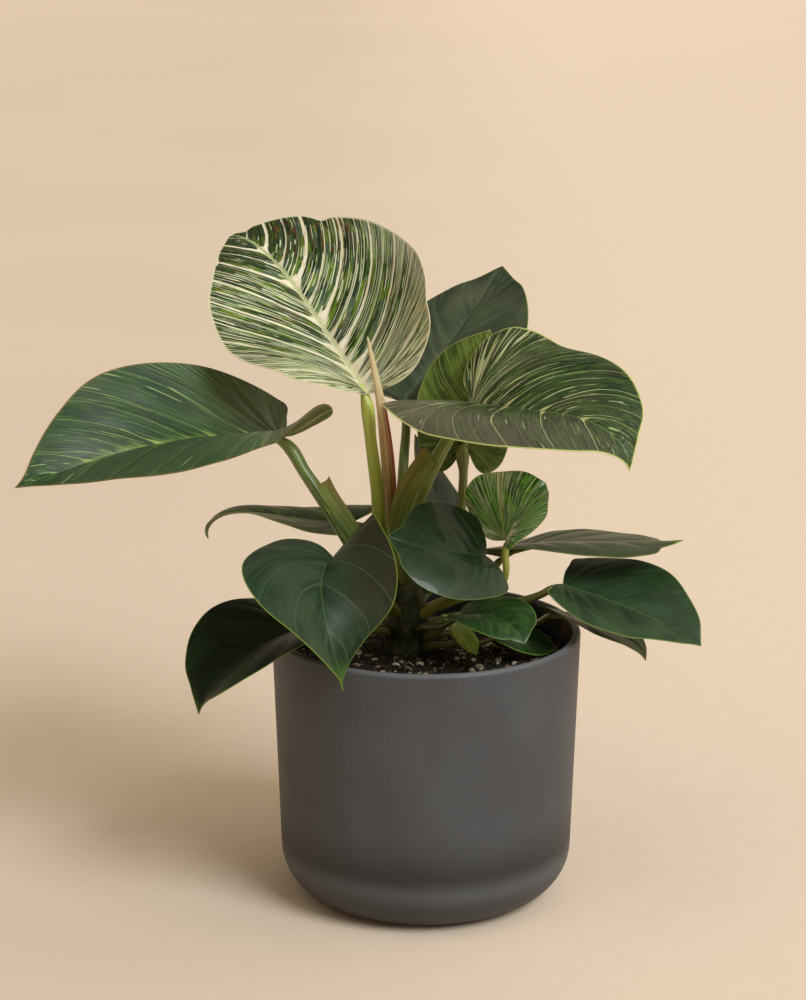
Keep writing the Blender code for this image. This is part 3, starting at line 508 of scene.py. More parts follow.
def blade_material(name, dark, mid, seed=0.0, lime=None, grey=None, lines=None, dashes=None, dark_lines=None,
                   side_veins=None, veins=8, rib=None, rim=((150, 165, 80), 0.5, 0.9), band=None, flecks=0.0,
                   tip=None, tip_fade=0.0, pale_base=0.0, base_lines=0.0, thin_side=None, feather=None, fan=None, painted_sheen=None, tint_and_painted_light=(), rough=0.42, coat=0.0,
                   coat_rough=0.2, relief=0.05, specular=0.3):
    """Upper face of a blade.
    lime, grey  colour and amount of the yellow-green and blue-grey strips
    lines       colour, count per cm of margin, half breadth (share of the pitch), how often they break,
                threshold (0.3 nearly all shown, 0.6 few), strength of the long thin lines
    dashes      colour, count per cm, threshold, how often they break, strength of the short strokes
    dark_lines  count per cm, half breadth, strength
    thin_side   half (-1 left, 1 right) with fewer lines, and how much fewer
    side_veins  colour, half width where the vein leaves the midrib, further out and at the margin (share
                of the spacing), strength, strength of the thin vein half way between two
    rib         colour at base and tip, half width mm at base and tip, strength
    rim, band   colour, width mm, strength of the thin margin line and of the pale band inside it
    tip         colour of the tip and where it starts
    bloom       colour and amount of the dull broad patches of painted sheen
    tint_and_painted_light   patches of painted light, painted shade and painted sheen, and one greener tint: half (-1 left, 1 right, 0 both), colour, amount, the share from the midrib where it starts
                and is full, and the share of the length where it starts and is full"""
    def fresh(c):
        return (c[0] * 0.95, c[1] * 1.05, c[2] * 0.91) if seed > 2 else c

    n = Net(name)
    u, s = n.uv("UVMap")
    un, qx = n.uv("vein")
    fx, fy = n.uv("flat")
    dm, de = n.uv("edge")
    right = n.math("GREATER_THAN", u, 50.0)
    dark, mid = fresh(dark), fresh(mid)
    if fan:
        # veins spread like a fan from the foot of the blade, about a middle line turned by fan[0] degrees
        ox = n.add(fx, 0.10)
        turn = n.math("SUBTRACT", n.math("ARCTAN2", fy, ox), math.radians(fan[0]))
        s = n.math("MINIMUM", n.mul(n.math("SQRT", n.add(n.mul(ox, ox), n.mul(fy, fy))), 0.85), 1.0)
        u = n.add(n.mul(turn, fan[1]), 20.0)
        un = n.mul(n.math("ABSOLUTE", turn), 0.42)
        dm = n.mul(n.mul(n.math("ABSOLUTE", turn), n.math("SQRT", n.add(n.mul(ox, ox), n.mul(fy, fy)))), fan[2])
    calm = n.step(fx, 1.0, 0.35)
    sway = n.mul(n.math("SUBTRACT", n.noise(n.vec(n.mul(u, 0.6), n.mul(s, 1.6), seed + 40), 1.0, 1.0), 0.5), calm)
    shake = n.mul(n.math("SUBTRACT", n.noise(n.vec(n.mul(u, 2.2), n.mul(s, 8.0), seed + 44), 1.0, 1.0), 0.5), calm)
    uu = n.add(u, n.add(n.mul(sway, 0.36), n.mul(shake, 0.035)))
    broad = n.noise(n.vec(n.mul(uu, 0.55), n.mul(s, 1.6), seed), 1.0, 3.0, 0.6)
    colour = n.mix(n.step(broad, 0.36, 0.66), lin(*dark), lin(*mid))
    streak = n.noise(n.vec(n.mul(uu, 4.2), n.mul(s, 1.6), seed + 5), 1.0, 2.0)
    colour = n.mix(n.mul(n.step(streak, 0.45, 0.70), 0.4), colour, lin(*[min(255, c * 1.25) for c in mid]))
    colour = n.mix(n.mul(n.step(streak, 0.47, 0.32), 0.4), colour, lin(*[c * 0.72 for c in dark]))
    if grey:
        p = n.noise(n.vec(n.mul(uu, 4.6), n.mul(s, 2.4), seed + 9), 1.0, 1.5)
        colour = n.mix(n.mul(n.step(p, 0.50, 0.58), grey[1]), colour, lin(*grey[0]))
    if lime:
        p = n.noise(n.vec(n.mul(uu, 5.2), n.mul(s, 4.2), seed + 7), 1.0, 1.5, 0.6)
        colour = n.mix(n.mul(n.step(p, 0.50, 0.56), lime[1]), colour, lin(*fresh(lime[0])))
    # painted sheen: broad dull patches mixed into the colour in place of reflections, grey-brown on most leaves
    if painted_sheen:
        spot = n.noise(n.vec(n.mul(fx, 3.1), n.mul(fy, 3.1), seed + 11), 1.0, 2.0)
        colour = n.mix(n.mul(n.step(spot, 0.42, 0.66), painted_sheen[1]), colour, lin(*fresh(painted_sheen[0])))
    # painted light, painted shade and painted sheen: each patch lightens, darkens or greys one half of the blade, or
    # both, as noted in the tables below
    for which, ct, amount, s0, s1, x0, x1 in tint_and_painted_light:
        cloud = n.noise(n.vec(n.mul(fx, 2.4), n.mul(fy, 2.4), seed + 15), 1.0, 2.0)
        cover = n.mul(n.mul(n.step(fx, x0, x1), n.step(s, s0, s1)), n.add(0.55, n.mul(cloud, 0.9)))
        if which:
            cover = n.mul(cover, right if which > 0 else n.math("SUBTRACT", 1.0, right))
        colour = n.mix(n.math("MINIMUM", n.mul(cover, amount), 1.0), colour, lin(*ct))
    if tip:
        colour = n.mix(n.mul(n.step(fx, tip[1], 1.0), 0.85), colour, lin(*tip[0]))
    dense = n.step(n.noise(n.vec(n.mul(uu, 1.1), n.mul(s, 1.4), seed + 13), 1.0, 1.5), 0.34, 0.64)
    to_tip = n.step(fx, 0.55, 0.98)
    to_base = n.step(fx, 0.30, -0.05)
    if thin_side:
        which = n.math("SUBTRACT", 1.0, right) if thin_side[0] < 0 else right
        rare = n.mul(which, thin_side[1])
    else:
        rare = 0.0
    base_thr = n.add(n.math("SUBTRACT", n.mul(to_tip, 0.16 * tip_fade), n.mul(dense, 0.05)), rare)
    near_base = n.mul(to_base, base_lines) if base_lines else 0.0
    if dashes:
        cd, per_cm, thr, often, power = dashes
        d = n.noise(n.vec(n.mul(uu, per_cm), n.mul(s, often), seed + 19), 1.0, 1.0)
        t = n.math("SUBTRACT", n.add(base_thr, thr), n.mul(to_base, pale_base))
        over = n.math("SUBTRACT", d, t)
        tint = n.mix(n.step(streak, 0.42, 0.60), lin(*cd), lin(*[c * f for c, f in zip(cd, (0.80, 0.92, 0.72))]))
        colour = n.mix(n.mul(n.step(over, 0.0, 0.030), power), colour, tint)
    if dark_lines:
        colour = n.mix(n.mul(n.threads(uu, s, dark_lines[0], dark_lines[1], 3.2, 0.44, seed + 17), dark_lines[2]),
                       colour, lin(*[c * 0.50 for c in dark]))
    if lines:
        cl, per_cm, breadth, often, thr, power = lines
        for k, f in enumerate((1.0, 1.6)):
            mask = n.threads(uu, s, per_cm * f, breadth * (1.0 - 0.1 * k), often * f, n.math("SUBTRACT", n.add(base_thr, thr + 0.03 * k), near_base), seed + 23 + 6 * k)
            colour = n.mix(n.mul(mask, power), colour, lin(*[c * (1 - 0.08 * k) for c in cl]))
    if side_veins:
        cv, w_root, w_in, w_out, power, half_way = side_veins
        p = n.add(n.mul(un, float(veins)), n.add(n.mul(sway, 0.22), n.mul(shake, 0.05)))
        jag = n.noise(n.vec(n.mul(uu, 5.0), n.mul(s, 12.0), seed + 31), 1.0, 2.0, 0.6)
        lit = n.mix(n.step(jag, 0.35, 0.65), lin(*cv), lin(*[c * f for c, f in zip(cv, (0.95, 0.91, 0.86))]))
        for k, (shift, share) in enumerate(((0.5, 1.0), (0.0, half_way))):
            if not share:
                continue
            f = n.math("FRACT", n.add(p, shift))
            near = n.math("ABSOLUTE", n.math("SUBTRACT", f, 0.5))
            t = 1.0 if k == 0 else 0.42
            width = n.blend(n.step(s, 0.0, 0.55), w_in * t, w_out * t)
            width = n.add(width, n.mul(n.step(s, 0.16, 0.0), (w_root - w_in) * t))
            width = n.mul(width, n.add(n.add(0.45, n.mul(jag, 1.1)), n.mul(to_base, 0.9)))
            mask = n.step(n.math("DIVIDE", near, width), 1.0, 0.50)
            mask = n.mul(mask, n.step(fx, 1.0, 0.90))
            colour = n.mix(n.mul(mask, power * share), colour, lit)
    if flecks:
        reg = n.noise(n.vec(n.mul(fx, 5.0), n.mul(fy, 5.0), seed + 51), 1.0, 1.0)
        fl = n.noise(n.vec(n.mul(uu, 8.0), n.mul(s, 5.0), seed + 57), 1.0, 1.0)
        colour = n.mix(n.mul(n.mul(n.step(fl, 0.58, 0.64), n.step(reg, 0.50, 0.58)), flecks), colour, lin(118, 60, 28))
    if feather:
        # soft light strokes that run out from the midrib along the veins
        cf, wf, power, x0, x1 = feather
        stroke = n.noise(n.vec(n.mul(uu, 5.0), n.mul(s, 3.0), seed + 66), 1.0, 2.0, 0.6)
        reach = n.mul(n.step(stroke, 0.36, 0.66), wf / 10)
        mask = n.step(n.math("DIVIDE", dm, n.add(reach, 0.02)), 1.0, 0.15)
        mask = n.mul(mask, n.mul(n.step(fx, x0 - 0.15, x0 + 0.1), n.step(fx, x1 + 0.1, x1 - 0.15)))
        colour = n.mix(n.mul(mask, power), colour, lin(*cf))
    if rib:
        c0, c1, w0, w1, power = rib
        along = n.math("MAXIMUM", n.math("MINIMUM", fx, 1.0), 0.0)
        width = n.blend(n.math("POWER", along, 0.7), w0 / 10, w1 / 10)
        fray = n.noise(n.vec(n.mul(uu, 6.0), n.mul(s, 8.0), seed + 61), 1.0, 2.0)
        width = n.mul(width, n.add(0.35, n.mul(fray, 1.25)))
        mask = n.step(n.math("DIVIDE", dm, width), 1.0, 0.5)
        colour = n.mix(n.mul(mask, power), colour, n.mix(along, lin(*c0), lin(*c1)))
    if band:
        cb, wb, power = band
        jag = n.noise(n.vec(n.mul(uu, 4.0), 0.0, seed + 71), 1.0, 3.0, 0.65)
        mask = n.step(de, n.mul(n.add(0.2, n.mul(jag, 1.6)), wb / 10), 0.0)
        colour = n.mix(n.mul(mask, power), colour, lin(*cb))
    cr, wr, power = rim
    uneven = n.noise(n.vec(n.mul(uu, 1.3), 0.0, seed + 81), 1.0, 2.0)
    mask = n.step(de, n.mul(n.add(0.5, uneven), wr / 10), wr / 25)
    colour = n.mix(n.mul(mask, power), colour, lin(*cr))
    shine = n.add(rough, n.mul(n.math("SUBTRACT", n.noise(n.vec(n.mul(uu, 1.4), n.mul(s, 3.0), seed + 91), 1.0, 3.0), 0.5), 0.16))
    h = n.add(n.mul(n.noise(n.vec(n.mul(uu, 9.0), n.mul(s, 2.5), seed + 95), 1.0, 2.0), 1.0),
              n.mul(n.noise(n.vec(n.mul(fx, 55.0), n.mul(fy, 55.0), seed), 1.0, 2.0), 0.5))
    n.bump(h, relief, 0.55)
    return n.finish(colour, shine, specular, coat, coat_rough)


def under_material(name, base, vein, seed=0.0, veins=8, rim=(150, 160, 85), shade=None, rough=0.5):
    """Lower face of a blade: paler, duller, with lighter veins that stand out a little."""
    n = Net(name)
    u, s = n.uv("UVMap")
    un, qx = n.uv("vein")
    fx, fy = n.uv("flat")
    dm, de = n.uv("edge")
    broad = n.noise(n.vec(n.mul(u, 0.7), n.mul(s, 2.0), seed), 1.0, 3.0, 0.6)
    colour = n.mix(n.step(broad, 0.35, 0.68), lin(*base), lin(*[c * 0.80 for c in base]))
    if shade:
        colour = n.mix(n.step(fx, shade[1], shade[2]), colour, lin(*shade[0]))
    line = n.noise(n.vec(n.mul(u, 7.0), n.mul(s, 2.0), seed + 3), 1.0, 1.0)
    colour = n.mix(n.mul(n.step(line, 0.55, 0.66), 0.4), colour, lin(*vein))
    f = n.math("ABSOLUTE", n.math("SUBTRACT", n.math("FRACT", n.add(n.mul(un, float(veins)), 0.5)), 0.5))
    colour = n.mix(n.mul(n.step(n.math("DIVIDE", f, n.blend(s, 0.09, 0.04)), 1.0, 0.4), 0.6), colour, lin(*vein))
    colour = n.mix(n.mul(n.step(dm, 0.16, 0.07), 0.75), colour, lin(*[min(255, c * 1.1) for c in vein]))
    colour = n.mix(n.mul(n.step(de, 0.06, 0.02), 0.8), colour, lin(*rim))
    n.bump(n.add(line, n.noise(n.vec(n.mul(fx, 60.0), n.mul(fy, 60.0), seed), 1.0, 2.0)), 0.06, 0.6)
    return n.finish(colour, n.add(rough - 0.06, n.mul(broad, 0.12)), 0.45)


GREEN_LIP = ((128, 146, 66), 0.55, 0.85)
# In these tables the dull broad patches are painted sheen, and the half patches are painted light, shade and sheen as
# noted
UPPER = {
    "top": dict(dark=(28, 50, 24), mid=(60, 86, 38), lime=((104, 132, 30), 0.9), grey=((90, 116, 90), 0.7), dark_lines=(7.0, 0.27, 0.97),
                dashes=((204, 208, 158), 7.5, 0.68, 4.0, 0.9), lines=((230, 232, 198), 5.0, 0.135, 3.0, 0.485, 0.93),
                side_veins=((244, 240, 214), 0.24, 0.080, 0.048, 0.97, 0.75), tip_fade=1.0, pale_base=0.17, base_lines=0.03,
                rib=((234, 228, 190), (146, 166, 98), 3.2, 0.8, 0.88), band=((216, 220, 172), 1.4, 0.6),
                rim=((232, 230, 190), 0.8, 0.8), flecks=0.4, tip=((44, 54, 28), 0.55),
                # painted light: the outer right half near the margin is lightened to a pale blue-green towards the base
                tint_and_painted_light=((1, (206, 216, 190), 0.5, 0.72, 1.0, 0.8, 0.3),), rough=0.46, seed=1.3),
    "high_left": dict(dark=(36, 56, 42), mid=(50, 72, 54), lime=((64, 94, 36), 0.35), dark_lines=(6.0, 0.12, 0.5),
                      lines=((170, 190, 124), 2.6, 0.040, 1.6, 0.515, 0.85), side_veins=((160, 182, 100), 0.08, 0.014, 0.007, 0.8, 0.4),
                      feather=((116, 142, 62), 6.0, 0.55, 0.25, 0.72), rib=((84, 108, 54), (96, 118, 58), 0.9, 0.4, 0.45),
                      rim=((124, 100, 52), 0.5, 0.85), band=((84, 106, 44), 1.2, 0.5), painted_sheen=((80, 80, 72), 0.6), base_lines=0.12, thin_side=(-1, 0.08),
                      # painted light: both halves are lightened near the base, where the top leaf casts its shadow; the
                      # second patch is a greener tint on the outer left half
                      tint_and_painted_light=((0, (104, 122, 90), 0.75, 0.05, 0.4, 0.42, 0.05), (-1, (54, 78, 42), 0.55, 0.1, 0.5, 0.9, 0.7)),
                      rough=0.42, seed=7.7),
    "high_right": dict(dark=(26, 42, 26), mid=(48, 66, 42), lime=((82, 104, 34), 0.45), dark_lines=(5.5, 0.15, 0.5),
                       dashes=((218, 214, 172), 5.0, 0.76, 1.2, 0.9), lines=((210, 212, 160), 3.4, 0.050, 2.8, 0.552, 0.9), base_lines=0.06,
                       # painted sheen: a grey-brown veil over the outer right half
                       thin_side=(1, 0.09), tint_and_painted_light=((1, (104, 98, 80), 0.5, 0.1, 0.6, 1.2, 0.5),), side_veins=((206, 208, 148), 0.08, 0.015, 0.008, 0.85, 0.5),
                       rib=((104, 124, 66), (100, 128, 60), 1.1, 0.5, 0.5),
                       rim=((200, 204, 124), 0.75, 0.9), band=((110, 134, 52), 1.4, 0.5), painted_sheen=((84, 82, 60), 0.45),
                       pale_base=0.19, rough=0.40, seed=3.1),
    "high_back": dict(dark=(50, 56, 46), mid=(70, 76, 62), side_veins=((76, 94, 66), 0.06, 0.024, 0.012, 0.5, 0.4),
                      rib=((76, 94, 60), (66, 82, 54), 1.0, 0.3, 0.35), rim=GREEN_LIP, painted_sheen=((98, 90, 80), 0.45), rough=0.46, seed=11.9),
    "erect": dict(dark=(54, 66, 20), mid=(92, 102, 42), lime=((92, 118, 38), 0.15), dark_lines=(7.0, 0.12, 0.3), lines=((156, 174, 96), 4.5, 0.055, 1.4, 0.46, 0.55),
                  side_veins=((150, 168, 92), 0.08, 0.030, 0.014, 0.6, 0.5), rib=((150, 170, 90), (120, 140, 70), 1.4, 0.5, 0.8),
                  rim=((140, 140, 74), 0.5, 0.8), rough=0.46, seed=13.3),
    "low_back": dict(dark=(26, 40, 34), mid=(42, 58, 48), rib=((84, 104, 70), (76, 94, 60), 0.9, 0.3, 0.6),
                     rim=((150, 164, 62), 0.7, 0.9), seed=17.1),
    "small_striped": dict(dark=(30, 96, 10), mid=(80, 150, 22), lime=((124, 184, 34), 0.6), dark_lines=(8.0, 0.16, 0.5),
                          lines=((242, 250, 216), 7.0, 0.10, 1.6, 0.43, 0.9), side_veins=((244, 250, 210), 0.12, 0.024, 0.012, 0.8, 0.6),
                          # painted highlight: pale blue-green patches mixed into the colour in place of the leaf's
                          # glossy reflections
                          painted_sheen=((150, 178, 150), 0.25),
                          rib=((190, 204, 120), (150, 170, 80), 1.0, 0.3, 0.9), rim=((150, 160, 80), 0.4, 0.8),
                          fan=(-36.0, 2.1, 3.1), rough=0.24, coat=1.0, coat_rough=0.10, specular=0.5, relief=0.12, seed=19.9),
    "centre": dict(dark=(20, 38, 22), mid=(34, 54, 34), side_veins=((52, 72, 46), 0.05, 0.022, 0.012, 0.3, 0.3),
                   rib=((56, 76, 44), (46, 66, 38), 0.9, 0.3, 0.4), rim=((96, 120, 54), 0.45, 0.7), painted_sheen=((62, 62, 46), 0.35),
                   rough=0.42, coat=0.22, coat_rough=0.04, specular=0.2, relief=0.14, seed=23.3),
    "front": dict(dark=(32, 48, 36), mid=(46, 62, 48), side_veins=((86, 100, 78), 0.10, 0.055, 0.030, 0.38, 0.0),
                  rib=((92, 114, 56), (84, 102, 64), 0.9, 0.3, 0.36), rim=((132, 158, 56), 0.55, 0.75),
                  # painted shade: the outer left half is darkened to a dull olive towards the base
                  tint_and_painted_light=((-1, (42, 42, 28), 0.9, 0.15, 0.7, 0.75, 0.35),),
                  tip=((82, 122, 30), 0.78), painted_sheen=((74, 78, 64), 0.5), rough=0.5, specular=0.22, seed=29.1),
    "low_left": dict(dark=(12, 22, 10), mid=(28, 42, 20), side_veins=((44, 58, 34), 0.05, 0.020, 0.010, 0.45, 0.0),
                     rib=((52, 70, 36), (44, 60, 30), 1.2, 0.4, 0.5), rim=((112, 134, 50), 0.55, 0.85),
                     tip=((66, 96, 28), 0.90), rough=0.42, specular=0.2, seed=31.7),
    "thin_left": dict(dark=(34, 42, 22), mid=(68, 72, 42), lime=((90, 110, 36), 0.5), rib=((74, 86, 50), (68, 76, 44), 1.0, 0.4, 0.5),
                      rim=((128, 142, 52), 0.6, 0.9), painted_sheen=((82, 72, 54), 0.4), seed=37.3),
    "thin_right": dict(dark=(34, 46, 28), mid=(50, 62, 40), side_veins=((76, 90, 58), 0.05, 0.020, 0.010, 0.4, 0.4),
                       rib=((92, 110, 58), (116, 150, 46), 1.2, 0.4, 0.6), rim=((118, 134, 58), 0.5, 0.8),
                       tip=((106, 146, 40), 0.92), painted_sheen=((78, 76, 58), 0.45), rough=0.36, seed=41.9),
    "low_right": dict(dark=(26, 44, 26), mid=(46, 66, 40), side_veins=((62, 82, 52), 0.05, 0.022, 0.012, 0.5, 0.4),
                      rib=((86, 112, 56), (66, 88, 46), 1.2, 0.4, 0.6), rim=((116, 138, 64), 0.5, 0.85),
                      painted_sheen=((58, 72, 64), 0.3), seed=43.1),
    "tucked_right": dict(dark=(34, 60, 20), mid=(58, 86, 30), rib=((92, 118, 52), (86, 98, 44), 0.9, 0.3, 0.6),
                         rim=((120, 132, 54), 0.45, 0.8), tip=((92, 62, 30), 0.90), seed=47.7),
    "small_centre": dict(dark=(26, 50, 20), mid=(46, 72, 34), side_veins=((66, 92, 50), 0.05, 0.022, 0.012, 0.45, 0.4),
                         rib=((78, 104, 50), (64, 88, 42), 0.9, 0.3, 0.55), rim=((98, 128, 56), 0.5, 0.85), rough=0.38, seed=53.9),
    "small_light": dict(dark=(142, 168, 70), mid=(192, 204, 114), lime=((190, 176, 118), 0.5),
                        rim=((160, 186, 74), 0.5, 0.9), rib=((150, 168, 84), (130, 160, 64), 0.8, 0.3, 0.7), seed=59.3),
    "soil_right": dict(dark=(24, 46, 18), mid=(42, 66, 30), rib=((72, 98, 44), (62, 86, 40), 0.7, 0.3, 0.5),
                       rim=((126, 156, 60), 0.5, 0.9), seed=61.1),
}
LOWER = {
    "top": dict(base=(150, 160, 108), vein=(200, 204, 160)),
    "high_left": dict(base=(116, 130, 76), vein=(196, 200, 150), rim=(200, 204, 140)),
    "high_right": dict(base=(92, 108, 56), vein=(150, 162, 100)),
    "small_striped": dict(base=(110, 130, 62), vein=(160, 172, 104)),
    "small_light": dict(base=(110, 130, 60), vein=(150, 166, 90)),
}
VEINS = {"top": 12, "high_left": 9, "high_right": 9, "high_back": 8, "small_striped": 8}
SHAPE = {
    "top": dict(quilt=0.6, ripple=0.55, kinks=((1, 0.79, 2.2, 4.0), (1, 0.962, 1.6, 3.0), (-1, 0.83, 1.0, 3.0))), "high_left": dict(quilt=0.40, ripple=0.35), "high_right": dict(quilt=0.45, ripple=0.45, kinks=((-1, 0.46, 6.0, 17.0),)),
    "small_striped": dict(quilt=0.9, ripple=0.3), "centre": dict(quilt=0.22, ripple=0.25),
    "front": dict(quilt=0.22, ripple=0.3),
}
SLOTS = {"top": "leaf_cream", "small_striped": "leaf_cream", "high_left": "leaf_dark_striped", "high_right": "leaf_dark_striped",
         "erect": "leaf_light", "small_light": "leaf_light"}

for k, (key, q) in enumerate(LEAVES.items()):
    nv = VEINS.get(key, 7)
    up_mat = blade_material("blade_upper_" + key, veins=nv, **UPPER[key])
    if key == "erect":
        lo_mat = blade_material("blade_under_erect", veins=nv, **dict(UPPER[key], seed=15.1))
    else:
        lo_mat = under_material("blade_under_" + key, seed=UPPER[key]["seed"] + 2.0, veins=nv,
                                **LOWER.get(key, dict(base=(74, 92, 50), vein=(110, 126, 74))))
    leaf(key, q, up_mat, lo_mat, SLOTS.get(key, "leaf_dark"), veins=nv, seed=100 + k, **SHAPE.get(key, {}))


# ================================ stalks and rolled parts ================================
def tube(name, way, mat, nodes, rings=40, around=20, flat=1.0, ridge=0.0, wobble=0.0, seed=1, toward=None, twist=0.0):
    """Round or flattened stem through way points (x, y, z, radius), closed at both ends.
    Map 'ring' holds cosine and sine of the angle, 'UVMap' the angle and the share of the length."""
    p = np.array(way, float)
    k = np.concatenate([[0.0], np.cumsum(np.linalg.norm(p[1:, :3] - p[:-1, :3], axis=1))])
    path = smooth_path(p, k, np.linspace(0, k[-1], rings))
    c, r = path[:, :3], np.maximum(path[:, 3], 0.12)
    tan = np.gradient(c, axis=0)
    tan /= np.linalg.norm(tan, axis=1, keepdims=True)
    ref = np.array(toward if toward is not None else (0.0, -1.0, 0.0), float)
    e1 = np.zeros_like(c)
    cur = ref - tan[0] * ref.dot(tan[0])
    if np.linalg.norm(cur) < 0.2:
        cur = np.array([0, 0, 1.0]) - tan[0] * tan[0][2]
    for i in range(rings):
        cur = cur - tan[i] * cur.dot(tan[i])
        cur /= np.linalg.norm(cur)
        e1[i] = cur
    e2 = np.cross(tan, e1)
    th = np.linspace(0, 2 * np.pi, around, endpoint=False)
    rng = np.random.default_rng(seed)
    ph = rng.uniform(0, 6.28, 6)
    v = np.linspace(0, 1, rings)
    tt, vv = np.meshgrid(th, v)
    tw = tt + twist * vv
    rad = r[:, None] * (1 + ridge * np.cos(3 * tt + 0.6) + wobble * (np.sin(7 * vv * 3 + ph[0] + 2 * np.cos(tt)) * 0.5
                                                                    + np.sin(19 * vv + ph[1] + np.sin(tt + ph[2])) * 0.35))
    pts = (c[:, None, :] + e1[:, None, :] * (rad * np.cos(tw))[..., None] + e2[:, None, :] * (rad * flat * np.sin(tw))[..., None])
    n0 = rings * around
    verts = np.concatenate([pts.reshape(-1, 3), c[:1] - tan[:1] * r[0] * 0.35, c[-1:] + tan[-1:] * r[-1] * 0.35])
    faces, uvm, ring = [], [], []
    for i in range(rings - 1):
        for j in range(around):
            j2 = (j + 1) % around
            faces.append((i * around + j, i * around + j2, (i + 1) * around + j2, (i + 1) * around + j))
            for jj, ii in ((j, i), (j + 1, i), (j + 1, i + 1), (j, i + 1)):
                uvm.append((jj / around, ii / (rings - 1)))
                a = 2 * math.pi * jj / around
                ring.append((math.cos(a), math.sin(a)))
    for j in range(around):
        j2 = (j + 1) % around
        faces.append((n0, j2, j))
        uvm += [((j + 0.5) / around, 0.0), ((j + 1) / around, 0.0), (j / around, 0.0)]
        ring += [(0.0, 0.0), (math.cos(th[j2]), math.sin(th[j2])), (math.cos(th[j]), math.sin(th[j]))]
        b = (rings - 1) * around
        faces.append((n0 + 1, b + j, b + j2))
        uvm += [((j + 0.5) / around, 1.0), (j / around, 1.0), ((j + 1) / around, 1.0)]
        ring += [(0.0, 0.0), (math.cos(th[j]), math.sin(th[j])), (math.cos(th[j2]), math.sin(th[j2]))]
    return piece(name, verts, faces, [mat], nodes, None, {"UVMap": uvm, "ring": ring}, sharp=0)


def stalk_material(name, top, middle, low, seed=0.0, edge=None, rough=0.36, flecks=0.3, coat=0.15):
    n = Net(name)
    a, v = n.uv("UVMap")
    cx, cy = n.uv("ring")
    fine = n.noise(n.vec(n.mul(cx, 3.2), n.mul(cy, 3.2), n.add(n.mul(v, 2.2), seed)), 1.0, 3.0, 0.6)
    soft = n.noise(n.vec(n.mul(cx, 0.8), n.mul(cy, 0.8), n.add(n.mul(v, 3.0), seed + 5)), 1.0, 2.0)
    at = n.add(v, n.mul(n.math("SUBTRACT", soft, 0.5), 0.25))
    colour = n.mix(n.step(at, 0.0, 0.5), lin(*top), lin(*middle))
    colour = n.mix(n.step(at, 0.5, 0.97), colour, lin(*low))
    colour = n.mix(n.mul(n.step(fine, 0.44, 0.66), 0.45), colour, n.mix(0.55, colour, lin(206, 206, 120)))
    colour = n.mix(n.mul(n.step(fine, 0.46, 0.30), 0.45), colour, n.mix(0.6, colour, lin(40, 60, 20)))
    if edge:
        colour = n.mix(n.mul(n.step(cy, edge[1], edge[2]), edge[3]), colour, lin(*edge[0]))
    spots = n.noise(n.vec(n.mul(cx, 7.0), n.mul(cy, 7.0), n.add(n.mul(v, 26.0), seed + 9)), 1.0, 2.0)
    colour = n.mix(n.mul(n.step(spots, 0.64, 0.72), flecks), colour, lin(112, 84, 44))
    n.bump(n.add(fine, n.mul(spots, 0.4)), 0.12, 0.5)
    return n.finish(colour, n.add(rough - 0.05, n.mul(soft, 0.12)), 0.5, coat, 0.2)


STALK_LOOK = {
    "top": ((192, 206, 98), (168, 188, 72), (102, 124, 44)),
    "high_left": ((98, 118, 52), (66, 94, 32), (76, 94, 34)),
    "high_right": ((128, 146, 58), (98, 120, 44), (86, 104, 38)),
    "high_back": ((92, 112, 58), (100, 118, 52), (90, 104, 44)),
    "erect": ((112, 124, 62), (104, 112, 52), (90, 100, 44)),
    "small_striped": ((150, 160, 64), (130, 140, 56), (104, 116, 44)),
    "centre": ((66, 84, 36), (104, 110, 40), (126, 124, 50)),
    "small_light": ((110, 128, 50), (100, 116, 44), (90, 100, 40)),
    "low_right": ((104, 100, 52), (96, 104, 46), (90, 98, 40)),
    "small_centre": ((40, 54, 26), (44, 56, 26), (58, 62, 30)),
    "front": ((84, 104, 40), (80, 92, 36), (76, 84, 34)),
}
for k, (key, (r_top, r_low, way)) in enumerate(STALKS.items()):
    q = LEAVES[key]
    el, az, roll = (math.radians(q[f][0]) for f in ("rise", "heading", "roll"))
    along = np.array([math.cos(el) * math.cos(az), math.cos(el) * math.sin(az), math.sin(el)])
    up = np.array([-math.sin(el) * math.cos(az), -math.sin(el) * math.sin(az), math.cos(el)])
    nor = up * math.cos(roll) + np.cross(along, up) * math.sin(roll)
    base = np.array(q["base"], float)
    size = q["length"] / 100.0
    first = np.array(way[0], float)
    lead = (first - base) / np.linalg.norm(first - base)
    inner = base + along * (5.0 * size + 1.5) - nor * (0.55 * r_top * 0.55 + 0.15)
    neck = base - nor * (0.62 * r_top) + lead * 0.8
    under = base + lead * (1.6 + 1.1 * r_top)
    centre = np.array([STOCK_X, STOCK_Y, way[-1][2]])
    end = np.array(way[-1], float)
    inward = end + (centre - end) * 0.45 + np.array([0, 0, -5.0 if way[-1][2] > 135 else -2.5])
    pts = [tuple(inner) + (0.30 * r_top,), tuple(neck) + (0.78 * r_top,), tuple(under) + (0.98 * r_top,)]
    run = [0.0]
    for i in range(1, len(way)):
        run.append(run[-1] + np.linalg.norm(np.subtract(way[i], way[i - 1])))
    for p, d in zip(way, run):
        pts.append(tuple(float(c) for c in p) + (r_top + (r_low - r_top) * (d + 6) / (run[-1] + 6),))
    pts.append(tuple(inward) + (r_low * 1.12,))
    look = STALK_LOOK.get(key, ((84, 100, 44), (88, 100, 42), (80, 90, 38)))
    mat = stalk_material("stalk_" + key, *look, seed=3.0 * k + 1.0)
    tube("fine_stalk_" + key, pts, mat, ["stalk_" + key], rings=16 + 10 * len(way), around=24,
         ridge=0.035, wobble=0.02, seed=200 + k)


